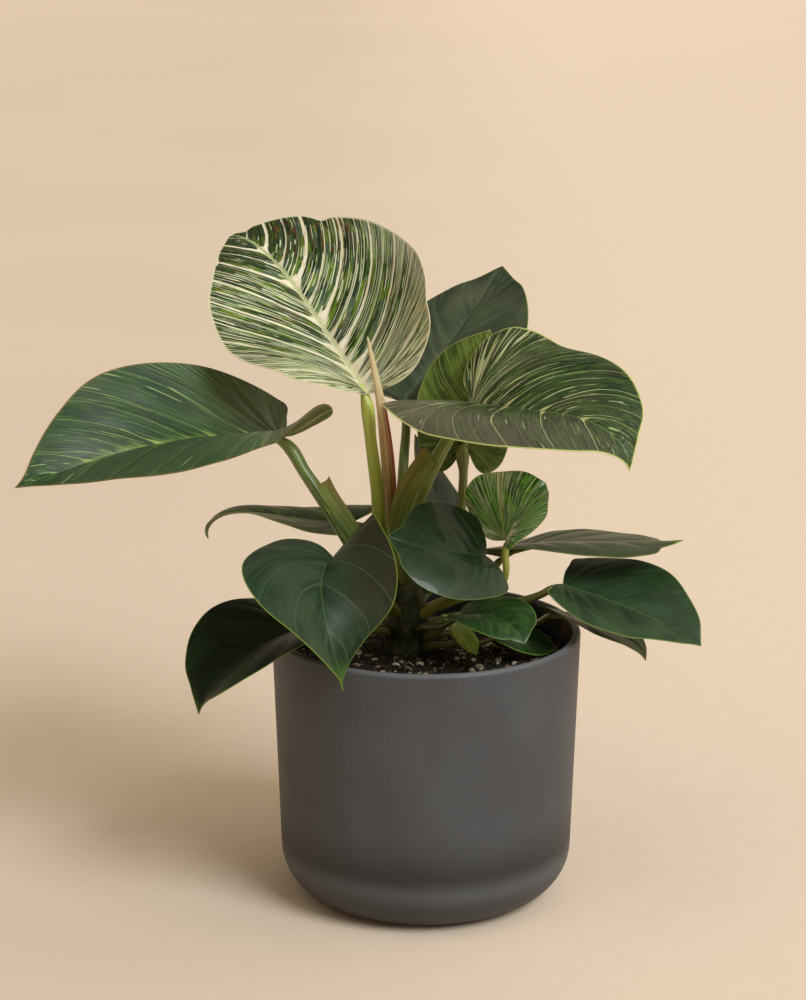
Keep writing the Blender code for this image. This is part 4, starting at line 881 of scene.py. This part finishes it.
def rolled_material():
    """New leaf rolled to a spear: cream point, pinkish body, dark red edge on one side."""
    n = Net("rolled_new_leaf")
    a, v = n.uv("UVMap")
    cx, cy = n.uv("ring")
    streak = n.noise(n.vec(n.mul(cx, 3.0), n.mul(cy, 3.0), n.mul(v, 3.0)), 1.0, 3.0, 0.6)
    colour = n.mix(n.step(v, 0.22, 0.42), lin(222, 206, 160), lin(180, 150, 96))
    colour = n.mix(n.step(v, 0.42, 0.80), colour, lin(130, 108, 56))
    colour = n.mix(n.mul(n.step(streak, 0.5, 0.68), 0.5), colour, lin(208, 182, 126))
    colour = n.mix(n.mul(n.step(streak, 0.48, 0.34), 0.45), colour, lin(132, 84, 50))
    red = n.mul(n.step(cx, 0.45, 0.80), n.step(v, 0.24, 0.36))
    colour = n.mix(n.mul(red, 0.95), colour, lin(150, 44, 34))
    line = n.mul(n.step(n.math("ABSOLUTE", n.math("SUBTRACT", cx, 0.38)), 0.10, 0.03), n.step(v, 0.20, 0.30))
    colour = n.mix(n.mul(line, 0.8), colour, lin(88, 30, 22))
    n.bump(streak, 0.15, 0.6)
    return n.finish(colour, 0.42, 0.5, 0.1, 0.25)


tube("fine_new_leaf", SPEAR, rolled_material(), ["new_leaf"], rings=90, around=28, flat=0.88, ridge=0.05, toward=(1, 0, 0))


def clasp_material(name, low, high, edge_colour, tip_colour, seed):
    """Winged sheath: stalk green, with a dull, freckled free edge and a darker tip."""
    n = Net(name)
    a, v = n.uv("UVMap")
    across, _ = n.uv("ring")
    streak = n.noise(n.vec(n.mul(across, 7.0), n.mul(v, 2.2), seed), 1.0, 3.0, 0.6)
    spots = n.noise(n.vec(n.mul(across, 16.0), n.mul(v, 34.0), seed + 4), 1.0, 2.0)
    colour = n.mix(n.step(streak, 0.36, 0.66), lin(*low), lin(*high))
    edge = n.math("MAXIMUM", n.step(n.add(across, n.mul(v, 0.45)), 0.42, 0.06), n.step(v, 0.16, 0.02))
    colour = n.mix(n.mul(edge, 0.6), colour, lin(*edge_colour))
    colour = n.mix(n.mul(n.mul(n.step(spots, 0.52, 0.60), n.mul(n.step(v, 0.62, 0.25), n.step(across, 0.75, 0.2))), 0.6), colour, lin(132, 80, 40))
    colour = n.mix(n.mul(n.step(v, 0.06, 0.0), 0.85), colour, lin(*tip_colour))
    n.bump(n.add(streak, n.mul(spots, 0.4)), 0.15, 0.6)
    return n.finish(colour, 0.48, 0.35)


def clasp(name, edge, way, radii, mat, nodes, to=-1.0, rows=60, cols=14):
    """Thin winged sheath: its free edge follows edge on the left (to = -1) or right (to = 1) of
    the stalk, the other side hugs the stalk's front."""
    e = np.array(edge, float)
    k = np.concatenate([[0.0], np.cumsum(np.linalg.norm(e[1:, :3] - e[:-1, :3], axis=1))])
    path = smooth_path(e, k, np.linspace(0, k[-1], rows))
    w = np.array(way, float)[::-1]
    run = np.concatenate([[0.0], np.cumsum(np.linalg.norm(np.diff(np.array(way, float), axis=0), axis=1))])
    rad = (radii[0] + (radii[1] - radii[0]) * (run + 6) / (run[-1] + 6))[::-1]
    verts, faces, uvm, ring = [], [], [], []
    v = np.linspace(0, 1, rows)
    for i in range(rows):
        z = path[i, 2]
        c = np.array([np.interp(z, w[:, 2], w[:, 0]), np.interp(z, w[:, 2], w[:, 1]), z])
        r = float(np.interp(z, w[:, 2], rad))
        free = path[i, :3] + np.array([to * path[i, 3] * 0.9, 0.0, 0.0])
        hold = c + np.array([-to * 0.35 * r, -0.94 * r - 0.35, 0.0])
        grip = ease(np.array(v[i] / 0.16))
        hold = free + (hold - free) * (0.04 + 0.96 * grip)
        side = c + np.array([to * 0.72 * r, -0.72 * r - 0.5, 0.0])
        mid = free + (side - free) * (0.04 + 0.96 * grip)
        for layer in (0, 1):
            for j in range(cols):
                f = j / (cols - 1)
                p = (1 - f) ** 2 * free + 2 * f * (1 - f) * (mid + np.array([0, -0.8 * grip, 0])) + f * f * hold
                p = p + np.array([0, 0.12 * math.sin(9 * v[i] + 5 * f), 0])
                thick = (0.25 + 0.55 * math.sin(math.pi * min(1.0, f * 1.1 + 0.05))) * (0.3 + 0.7 * float(grip))
                verts.append(p + np.array([0.0, thick if layer else -0.05, 0.0]))
    m = 2 * cols

    def at(i, layer, j):
        return i * m + layer * cols + j

    def put(*corners):
        corners = corners if to < 0 else corners[::-1]
        faces.append(tuple(at(*c) for c in corners))
        for i, layer, j in corners:
            uvm.append((j / (cols - 1), i / (rows - 1)))
            ring.append((j / (cols - 1), 0.0))

    for i in range(rows - 1):
        for j in range(cols - 1):
            put((i, 0, j), (i + 1, 0, j), (i + 1, 0, j + 1), (i, 0, j + 1))
            put((i, 1, j), (i, 1, j + 1), (i + 1, 1, j + 1), (i + 1, 1, j))
        put((i, 1, 0), (i + 1, 1, 0), (i + 1, 0, 0), (i, 0, 0))
        put((i, 0, cols - 1), (i + 1, 0, cols - 1), (i + 1, 1, cols - 1), (i, 1, cols - 1))
    for j in range(cols - 1):
        put((0, 0, j), (0, 0, j + 1), (0, 1, j + 1), (0, 1, j))
        put((rows - 1, 0, j + 1), (rows - 1, 0, j), (rows - 1, 1, j), (rows - 1, 1, j + 1))
    return piece(name, verts, faces, [mat], nodes, None, {"UVMap": uvm, "ring": ring}, sharp=50)


clasp("fine_sheath_high_right", SHEATH_HIGH_RIGHT, STALKS["high_right"][2], STALKS["high_right"][:2],
      clasp_material("sheath_right", (88, 104, 38), (116, 130, 54), (150, 130, 66), (146, 92, 52), 3.0), ["sheath_high_right"])
clasp("fine_sheath_high_left", SHEATH_HIGH_LEFT, STALKS["high_left"][2], STALKS["high_left"][:2],
      clasp_material("sheath_left", (90, 112, 44), (118, 136, 60), (140, 112, 62), (112, 52, 34), 9.0), ["sheath_high_left"], to=1.0)


def dry_material():
    n = Net("dry_stalk")
    a, v = n.uv("UVMap")
    cx, cy = n.uv("ring")
    streak = n.noise(n.vec(n.mul(cx, 2.5), n.mul(cy, 2.5), n.mul(v, 8.0)), 1.0, 3.0, 0.65)
    colour = n.mix(n.step(streak, 0.36, 0.64), lin(66, 42, 26), lin(128, 90, 60))
    n.bump(streak, 0.25, 0.8)
    return n.finish(colour, 0.8, 0.3)


tube("fine_dry_stalk", DRY_STALK, dry_material(), ["dry_stalk"], rings=40, around=12, flat=0.8, wobble=0.14, seed=9)


# ================================ root stock ================================
def stock_material():
    n = Net("root_stock")
    a, v = n.uv("UVMap")
    cx, cy = n.uv("ring")
    rough = n.noise(n.vec(n.mul(cx, 2.0), n.mul(cy, 2.0), n.mul(v, 6.0)), 1.0, 4.0, 0.65)
    colour = n.mix(n.step(rough, 0.38, 0.62), lin(28, 38, 20), lin(60, 72, 38))
    band = n.math("ABSOLUTE", n.math("SUBTRACT", n.math("FRACT", n.add(n.mul(v, 5.0), n.mul(rough, 1.9))), 0.5))
    colour = n.mix(n.mul(n.mul(n.step(band, 0.09, 0.02), n.step(rough, 0.44, 0.56)), 0.75), colour, lin(112, 86, 58))
    scar = n.cells(n.vec(n.mul(cx, 1.6), n.mul(cy, 1.6), n.mul(v, 5.0)), 1.0)
    colour = n.mix(n.mul(n.step(scar, 0.26, 0.14), 0.8), colour, lin(78, 52, 34))
    n.bump(n.add(rough, n.mul(scar, 0.6)), 0.9, 1.0)
    return n.finish(colour, 0.6, 0.4)


tube("fine_root_stock",
     [(STOCK_X, STOCK_Y, 103, STOCK_R - 0.6), (STOCK_X, STOCK_Y, 113, STOCK_R + 0.6), (STOCK_X, STOCK_Y, 119, STOCK_R - 0.4),
      (STOCK_X, STOCK_Y, 126, STOCK_R + 0.2), (STOCK_X, STOCK_Y, 134, STOCK_R - 0.9), (STOCK_X - 1, STOCK_Y, 142, STOCK_R - 1.2),
      (STOCK_X - 1, STOCK_Y, 149, STOCK_R - 3.4), (STOCK_X - 1, STOCK_Y, 152, STOCK_R - 6.5)],
     stock_material(), ["root_stock"], rings=70, around=48, ridge=0.03, wobble=0.045, seed=12)


# ================================ potting soil ================================
def pot_r(z):
    return POT_RIM_R - POT_TAPER * (POT_HEIGHT - z)


def soil_material():
    n = Net("potting_soil")
    p = n.place()
    big = n.noise(p, 260.0, 4.0, 0.65)
    fine = n.noise(p, 1400.0, 3.0, 0.7)
    colour = n.mix(n.step(big, 0.38, 0.62), lin(26, 23, 17), lin(58, 49, 36))
    colour = n.mix(n.mul(n.step(fine, 0.64, 0.72), 0.5), colour, lin(84, 70, 50))
    n.bump(n.add(big, n.mul(fine, 0.5)), 1.2, 1.0)
    return n.finish(colour, 0.92, 0.25)


def grain_material(name, light, dark, rough=0.85, scale=700.0):
    n = Net(name)
    p = n.place()
    a = n.noise(p, scale, 3.0, 0.65)
    b = n.noise(p, scale * 0.25, 2.0)
    colour = n.mix(n.step(a, 0.38, 0.62), lin(*dark), lin(*light))
    colour = n.mix(n.mul(n.step(b, 0.5, 0.7), 0.4), colour, lin(*[c * 0.72 for c in light]))
    n.bump(a, 0.3, 0.8)
    return n.finish(colour, rough, 0.35)


def hills(x, y):
    return (0.75 * np.sin(x * 0.21 + 1.1) * np.cos(y * 0.17 - 0.4) + 0.5 * np.sin(x * 0.43 - y * 0.31 + 2.2)
            + 0.3 * np.sin(x * 0.9 + 0.7) * np.sin(y * 1.1 + 1.9) + 0.18 * np.sin(x * 2.3 + y * 1.7) + 0.14 * np.sin(x * 3.1 - y * 2.9 + 1))


rng = np.random.default_rng(42)
edge_r = pot_r(SOIL_TOP - SOIL_EDGE_DROP) - POT_WALL - 0.15
rs = np.concatenate([[0.0], np.linspace(1.2, edge_r - 0.4, 62)])
n_t = 150
ts = np.linspace(0, 2 * np.pi, n_t, endpoint=False)
soil_v = [(0.0, 0.0, SOIL_TOP + 0.2)]
for r in rs[1:]:
    x, y = r * np.cos(ts), r * np.sin(ts)
    z = SOIL_TOP - 0.9 + hills(x, y) + rng.normal(0, 0.22, n_t) + 2.2 * np.exp(-(((x - STOCK_X) ** 2 + (y - STOCK_Y) ** 2) / 260.0))
    z -= 1.2 * ease((r - edge_r + 5) / 5)
    soil_v += list(zip(x, y, z))
low_z = POT_FLOOR + 25
soil_v += [(pot_r(SOIL_TOP - 4) * 0 + (edge_r - 0.3) * math.cos(t), (edge_r - 0.3) * math.sin(t), SOIL_TOP - 6) for t in ts]
soil_v += [((pot_r(low_z) - POT_WALL - 0.4) * math.cos(t), (pot_r(low_z) - POT_WALL - 0.4) * math.sin(t), low_z) for t in ts]
soil_v += [(0.0, 0.0, low_z)]
soil_f = [(0, 1 + j, 1 + (j + 1) % n_t) for j in range(n_t)]
n_rings = len(rs) - 1 + 2
for i in range(n_rings - 1):
    for j in range(n_t):
        a, b = 1 + i * n_t + j, 1 + i * n_t + (j + 1) % n_t
        soil_f.append((a, a + n_t, b + n_t, b))
bottom = len(soil_v) - 1
lastr = 1 + (n_rings - 1) * n_t
soil_f += [(bottom, lastr + (j + 1) % n_t, lastr + j) for j in range(n_t)]
piece("fine_soil", soil_v, soil_f, [soil_material()], ["soil"], sharp=0)


def lumps(name, count, sizes, mats, weights, spread, flat_range, seed, long_range=(1.0, 1.6), lift=0.25, subdiv=1):
    """Many small irregular grains lying on the soil, as one piece."""
    r2 = np.random.default_rng(seed)
    g = (1 + 5**0.5) / 2
    iv = np.array([(-1, g, 0), (1, g, 0), (-1, -g, 0), (1, -g, 0), (0, -1, g), (0, 1, g), (0, -1, -g), (0, 1, -g), (g, 0, -1), (g, 0, 1), (-g, 0, -1), (-g, 0, 1)])
    iv /= np.linalg.norm(iv[0])
    ifc = [(0, 11, 5), (0, 5, 1), (0, 1, 7), (0, 7, 10), (0, 10, 11), (1, 5, 9), (5, 11, 4), (11, 10, 2), (10, 7, 6), (7, 1, 8),
           (3, 9, 4), (3, 4, 2), (3, 2, 6), (3, 6, 8), (3, 8, 9), (4, 9, 5), (2, 4, 11), (6, 2, 10), (8, 6, 7), (9, 8, 1)]
    for _ in range(subdiv):
        vl, cache, nf = [tuple(v) for v in iv], {}, []

        def half(a, b):
            key = (min(a, b), max(a, b))
            if key not in cache:
                mpt = (np.array(vl[a]) + np.array(vl[b])) / 2
                vl.append(tuple(mpt / np.linalg.norm(mpt)))
                cache[key] = len(vl) - 1
            return cache[key]

        for a, b, c in ifc:
            ab, bc, ca = half(a, b), half(b, c), half(c, a)
            nf += [(a, ab, ca), (b, bc, ab), (c, ca, bc), (ab, bc, ca)]
        iv, ifc = np.array(vl), nf
    verts, faces, fm = [], [], []
    placed = 0
    while placed < count:
        rr, an = edge_r * math.sqrt(r2.uniform(0, 1)) - 1.5, r2.uniform(0, 2 * math.pi)
        x, y = rr * math.cos(an), rr * math.sin(an)
        if rr < 0 or math.hypot(x - STOCK_X, y - STOCK_Y) < STOCK_R - 1 or r2.uniform() > spread(x, y):
            continue
        size = r2.uniform(*sizes) * (0.7 + 0.6 * r2.uniform() ** 2)
        if rr + size > edge_r - 0.3:
            continue
        shape = iv * (1 + r2.normal(0, 0.13, (len(iv), 1)))
        shape = shape * np.array([size * r2.uniform(*long_range), size, size * r2.uniform(*flat_range)])
        tilt, spin = r2.normal(0, 0.35), r2.uniform(0, 2 * math.pi)
        ct, st, cs, ss = math.cos(tilt), math.sin(tilt), math.cos(spin), math.sin(spin)
        rot = np.array([[cs, -ss, 0], [ss, cs, 0], [0, 0, 1]]) @ np.array([[ct, 0, st], [0, 1, 0], [-st, 0, ct]])
        z = SOIL_TOP - 0.9 + float(hills(np.array(x), np.array(y))) + size * lift
        z -= 1.2 * float(ease(np.array((rr - edge_r + 5) / 5)))
        v = shape @ rot.T + np.array([x, y, z])
        faces += [tuple(i + len(verts) for i in f) for f in ifc]
        fm += [int(r2.choice(len(mats), p=weights))] * len(ifc)
        verts += v.tolist()
        placed += 1
    return piece(name, verts, faces, mats, [], fm, sharp=35)


perlite = grain_material("perlite", (206, 198, 172), (150, 138, 110))
bark = grain_material("bark_bits", (86, 62, 42), (38, 27, 18))
crumb = grain_material("soil_crumbs", (50, 42, 31), (20, 17, 12))
sand = grain_material("pale_bits", (150, 132, 100), (94, 78, 54))
lumps("soil_perlite", 120, (0.6, 1.9), [perlite, sand], (0.65, 0.35), lambda x, y: 0.35 + 0.65 * (y < 5), (0.6, 0.95), 7)
lumps("soil_bark", 300, (0.4, 1.2), [bark, sand, crumb], (0.5, 0.12, 0.38), lambda x, y: 1.0, (0.35, 0.7), 8, long_range=(1.2, 3.0))
lumps("soil_chips", 420, (0.3, 0.85), [sand, bark], (0.6, 0.4), lambda x, y: 0.3 + 0.7 * (y < 5), (0.35, 0.8), 11, long_range=(1.2, 3.2))
lumps("soil_crumbs", 1300, (0.4, 1.2), [crumb, bark, sand], (0.80, 0.15, 0.05), lambda x, y: 1.0, (0.6, 1.0), 9)


def rootlets():
    """Thin pale roots and straws that lie on the soil."""
    r3 = np.random.default_rng(21)
    verts, faces = [], []
    starts = [(6, -47, 50, 9), (-4, -52, 80, 6), (12, -40, 20, 7), (-24, -46, 140, 6), (30, -38, -30, 6), (-36, -30, 200, 6)]
    for k in range(20):
        a, r = r3.uniform(0, 6.28), r3.uniform(18, 58)
        starts.append((r * math.cos(a), r * math.sin(a), r3.uniform(0, 360), r3.uniform(4, 9)))
    for x, y, ang, ln in starts:
        ang = math.radians(ang)
        bend = r3.normal(0, 0.9)
        pts = []
        px, py = x, y
        for i in range(9):
            t = i / 8
            pts.append((px, py, SOIL_TOP - 0.6 + float(hills(np.array(px), np.array(py))) + 1.6 * math.sin(math.pi * t) + 0.3))
            px += ln / 8 * math.cos(ang + bend * t)
            py += ln / 8 * math.sin(ang + bend * t)
            if math.hypot(px, py) > edge_r - 2:
                break
        if len(pts) < 4:
            continue
        rad = r3.uniform(0.16, 0.3)
        c = np.array(pts)
        tan = np.gradient(c, axis=0)
        tan /= np.linalg.norm(tan, axis=1, keepdims=True)
        e1 = np.cross(tan, (0, 0, 1.0))
        e1 /= np.linalg.norm(e1, axis=1, keepdims=True)
        e2 = np.cross(tan, e1)
        m = 6
        b0 = len(verts)
        for i in range(len(c)):
            rr = rad * (1 - 0.6 * i / (len(c) - 1))
            for j in range(m):
                a = 2 * math.pi * j / m
                verts.append(tuple(c[i] + e1[i] * rr * math.cos(a) + e2[i] * rr * math.sin(a)))
        for i in range(len(c) - 1):
            for j in range(m):
                j2 = (j + 1) % m
                faces.append((b0 + i * m + j, b0 + (i + 1) * m + j, b0 + (i + 1) * m + j2, b0 + i * m + j2))
        faces.append(tuple(b0 + j for j in range(m)))
        faces.append(tuple(b0 + (len(c) - 1) * m + j for j in range(m - 1, -1, -1)))
    return piece("soil_rootlets", verts, faces, [grain_material("rootlets", (196, 176, 138), (140, 112, 78), 0.8, 900.0)], [], sharp=0)


rootlets()


# ==================================== pot ====================================
def arc(cx, cz, r, a0, a1, n):
    return [(cx + r * math.cos(math.radians(a0 + (a1 - a0) * i / n)),
             cz + r * math.sin(math.radians(a0 + (a1 - a0) * i / n))) for i in range(n + 1)]


def pot_material():
    n = Net("pot_charcoal")
    p = n.place()
    x, y, z = n.xyz(p)
    cloud = n.noise(p, 22.0, 3.0, 0.55)
    grit = n.noise(p, 2600.0, 2.0, 0.6)
    speck = n.noise(p, 900.0, 2.0, 0.6)
    colour = n.mix(n.step(cloud, 0.30, 0.70), lin(70, 72, 76), lin(78, 81, 85))
    colour = n.mix(n.mul(n.step(speck, 0.62, 0.76), 0.22), colour, lin(104, 103, 100))
    colour = n.mix(n.mul(n.step(speck, 0.40, 0.28), 0.35), colour, lin(56, 55, 53))
    # painted light: a lighter band from about 14 to 30 mm up the outer wall, just above the bottom corner
    painted_light_band = n.mul(n.step(z, 0.030, 0.022), n.step(z, 0.014, 0.019))
    colour = n.mix(n.mul(painted_light_band, 0.18), colour, lin(98, 101, 106))
    # painted shade: darker below about 10 to 22 mm, on the bottom corner
    colour = n.mix(n.mul(n.step(z, 0.022, 0.010), 0.5), colour, lin(50, 51, 53))
    # painted shade: darker within 66.5 mm of the axis above 20 to 30 mm height, on the inner wall, and the same mask
    # also darkens the narrow lower outer wall up to about 50 mm
    inside = n.mul(n.step(n.math("SQRT", n.add(n.mul(x, x), n.mul(y, y))), 0.0675, 0.0665), n.step(z, 0.02, 0.03))
    colour = n.mix(n.mul(inside, 0.75), colour, lin(34, 34, 32))
    # painted highlight: a lighter blue-grey line along the top of the rim, above about 122.5 mm
    lip = n.step(z, 0.1225, 0.1248)
    colour = n.mix(n.mul(lip, 0.45), colour, lin(118, 121, 125))
    n.bump(n.add(n.mul(grit, 0.8), speck), 0.06, 0.7)
    shine = n.add(0.50, n.mul(n.math("SUBTRACT", speck, 0.5), 0.15))
    return n.finish(colour, shine, 0.25)


lean = math.degrees(math.atan(POT_TAPER))
corner_cx = pot_r(POT_CORNER_R) - POT_CORNER_R
inner_r = POT_CORNER_R - POT_WALL
lip = POT_WALL / 2
profile = [(1e-6, 0.55), (corner_cx - 9, 0.55), (corner_cx - 8, 0.45), (corner_cx - 7, 0.1), (corner_cx - 6, 0.0)]
profile += arc(corner_cx, POT_CORNER_R, POT_CORNER_R, -90, -lean, 22)
profile += [(pot_r(z), z) for z in (45, 70, 95, 112)]
profile += arc(pot_r(POT_HEIGHT) - lip, POT_HEIGHT - lip, lip, -lean, 180 + lean, 14)
profile += [(pot_r(z) - POT_WALL, z) for z in (112, 95, 70, 45)]
profile += arc(corner_cx, POT_FLOOR + inner_r, inner_r, -lean, -90, 10)
profile += [(1e-6, POT_FLOOR)]
STEPS = 192
pot_v, pot_f = [(0, 0, profile[0][1])], []
rows = profile[1:-1]
for r, z in rows:
    pot_v += [(r * math.cos(2 * math.pi * j / STEPS), r * math.sin(2 * math.pi * j / STEPS), z) for j in range(STEPS)]
pot_v.append((0, 0, POT_FLOOR))
for j in range(STEPS):
    pot_f.append((0, 1 + (j + 1) % STEPS, 1 + j))
for i in range(len(rows) - 1):
    for j in range(STEPS):
        a, b = 1 + i * STEPS + j, 1 + i * STEPS + (j + 1) % STEPS
        pot_f.append((a, b, b + STEPS, a + STEPS))
b0 = 1 + (len(rows) - 1) * STEPS
for j in range(STEPS):
    pot_f.append((len(pot_v) - 1, b0 + j, b0 + (j + 1) % STEPS))
piece("fine_pot", pot_v, pot_f, [pot_material()], ["pot"], sharp=0)

# ================================ floor, light, camera ================================
def stage_material():
    n = Net("floor_beige")
    p = n.place()
    x, y, z = n.xyz(p)
    grain = n.noise(p, 90.0, 3.0, 0.6)
    cloud = n.noise(p, 2.2, 2.0)
    # painted shade: the floor is darker towards -x and lighter towards +x, following the light from the right
    colour = n.mix(n.step(x, -0.28, 0.30), lin(222, 203, 182), lin(239, 219, 198))
    colour = n.mix(n.mul(n.step(grain, 0.35, 0.65), 0.10), colour, lin(214, 196, 170))
    colour = n.mix(n.mul(n.step(cloud, 0.40, 0.62), 0.12), colour, lin(240, 222, 200))
    return n.finish(colour, 0.95, 0.1)


prof = [(1e-4, 0.0), (0.4, 0.0), (1.0, 0.0), (2.5, 0.0), (4.5, 0.0), (6.0, 0.0)]
prof += [(6.0 + 1.2 * math.sin(math.radians(a)), 1.2 - 1.2 * math.cos(math.radians(a))) for a in range(10, 91, 10)] + [(7.2, 2.0)]
SEG = 96
fv, ff = [(0, 0, 0)], []
for r, z in prof[1:]:
    fv += [(r * math.cos(2 * math.pi * j / SEG), r * math.sin(2 * math.pi * j / SEG), z) for j in range(SEG)]
for j in range(SEG):
    ff.append((0, 1 + j, 1 + (j + 1) % SEG))
for i in range(len(prof) - 2):
    for j in range(SEG):
        a, b = 1 + i * SEG + j, 1 + i * SEG + (j + 1) % SEG
        ff.append((a, a + SEG, b + SEG, b))
fm = bpy.data.meshes.new("floor")
fm.from_pydata(fv, [], ff)
fm.shade_smooth()
fm.materials.append(stage_material())
floor = bpy.data.objects.new("floor", fm)
bpy.context.scene.collection.objects.link(floor)

world = bpy.data.worlds.new("studio")
bpy.context.scene.world = world
world.use_nodes = True
bg = world.node_tree.nodes["Background"]
bg.inputs["Color"].default_value = (1.0, 0.87, 0.68, 1.0)
way = world.node_tree.nodes.new("ShaderNodeTexCoord")
split = world.node_tree.nodes.new("ShaderNodeSeparateXYZ")
side = world.node_tree.nodes.new("ShaderNodeMapRange")
side.interpolation_type = "SMOOTHSTEP"
side.inputs["From Min"].default_value = -0.45
side.inputs["From Max"].default_value = 1.0
side.inputs["To Min"].default_value = 0.13
side.inputs["To Max"].default_value = 1.12
world.node_tree.links.new(way.outputs["Generated"], split.inputs[0])
world.node_tree.links.new(split.outputs[0], side.inputs["Value"])
world.node_tree.links.new(side.outputs["Result"], bg.inputs["Strength"])


def sun(name, source, strength, colour, angle):
    lamp = bpy.data.lights.new(name, "SUN")
    lamp.energy = strength
    lamp.color = colour
    lamp.angle = math.radians(angle)
    ob = bpy.data.objects.new(name, lamp)
    bpy.context.scene.collection.objects.link(ob)
    d = np.array(source, float)
    az, el = math.atan2(d[1], d[0]), math.asin(d[2] / np.linalg.norm(d))
    ob.rotation_euler = (math.pi / 2 - el, 0.0, az + math.pi / 2)
    return ob


sun("key", (0.50, -0.58, 0.66), 2.2, (0.86, 0.93, 1.0), 28)
sun("fill", (-0.30, -0.34, 0.90), 0.42, (1.0, 0.90, 0.74), 50)

cam = bpy.data.cameras.new("camera")
cam.lens = 104.4
cam.sensor_width = 36.0
cam.clip_start, cam.clip_end = 0.05, 60.0
cam_ob = bpy.data.objects.new("camera", cam)
bpy.context.scene.collection.objects.link(cam_ob)
cam_ob.location = (-0.0105, -1.2574, 0.5146)
cam_ob.rotation_euler = (math.radians(90 - 14.7), 0.0, 0.0)
bpy.context.scene.camera = cam_ob
bpy.context.scene.view_settings.view_transform = "Standard"
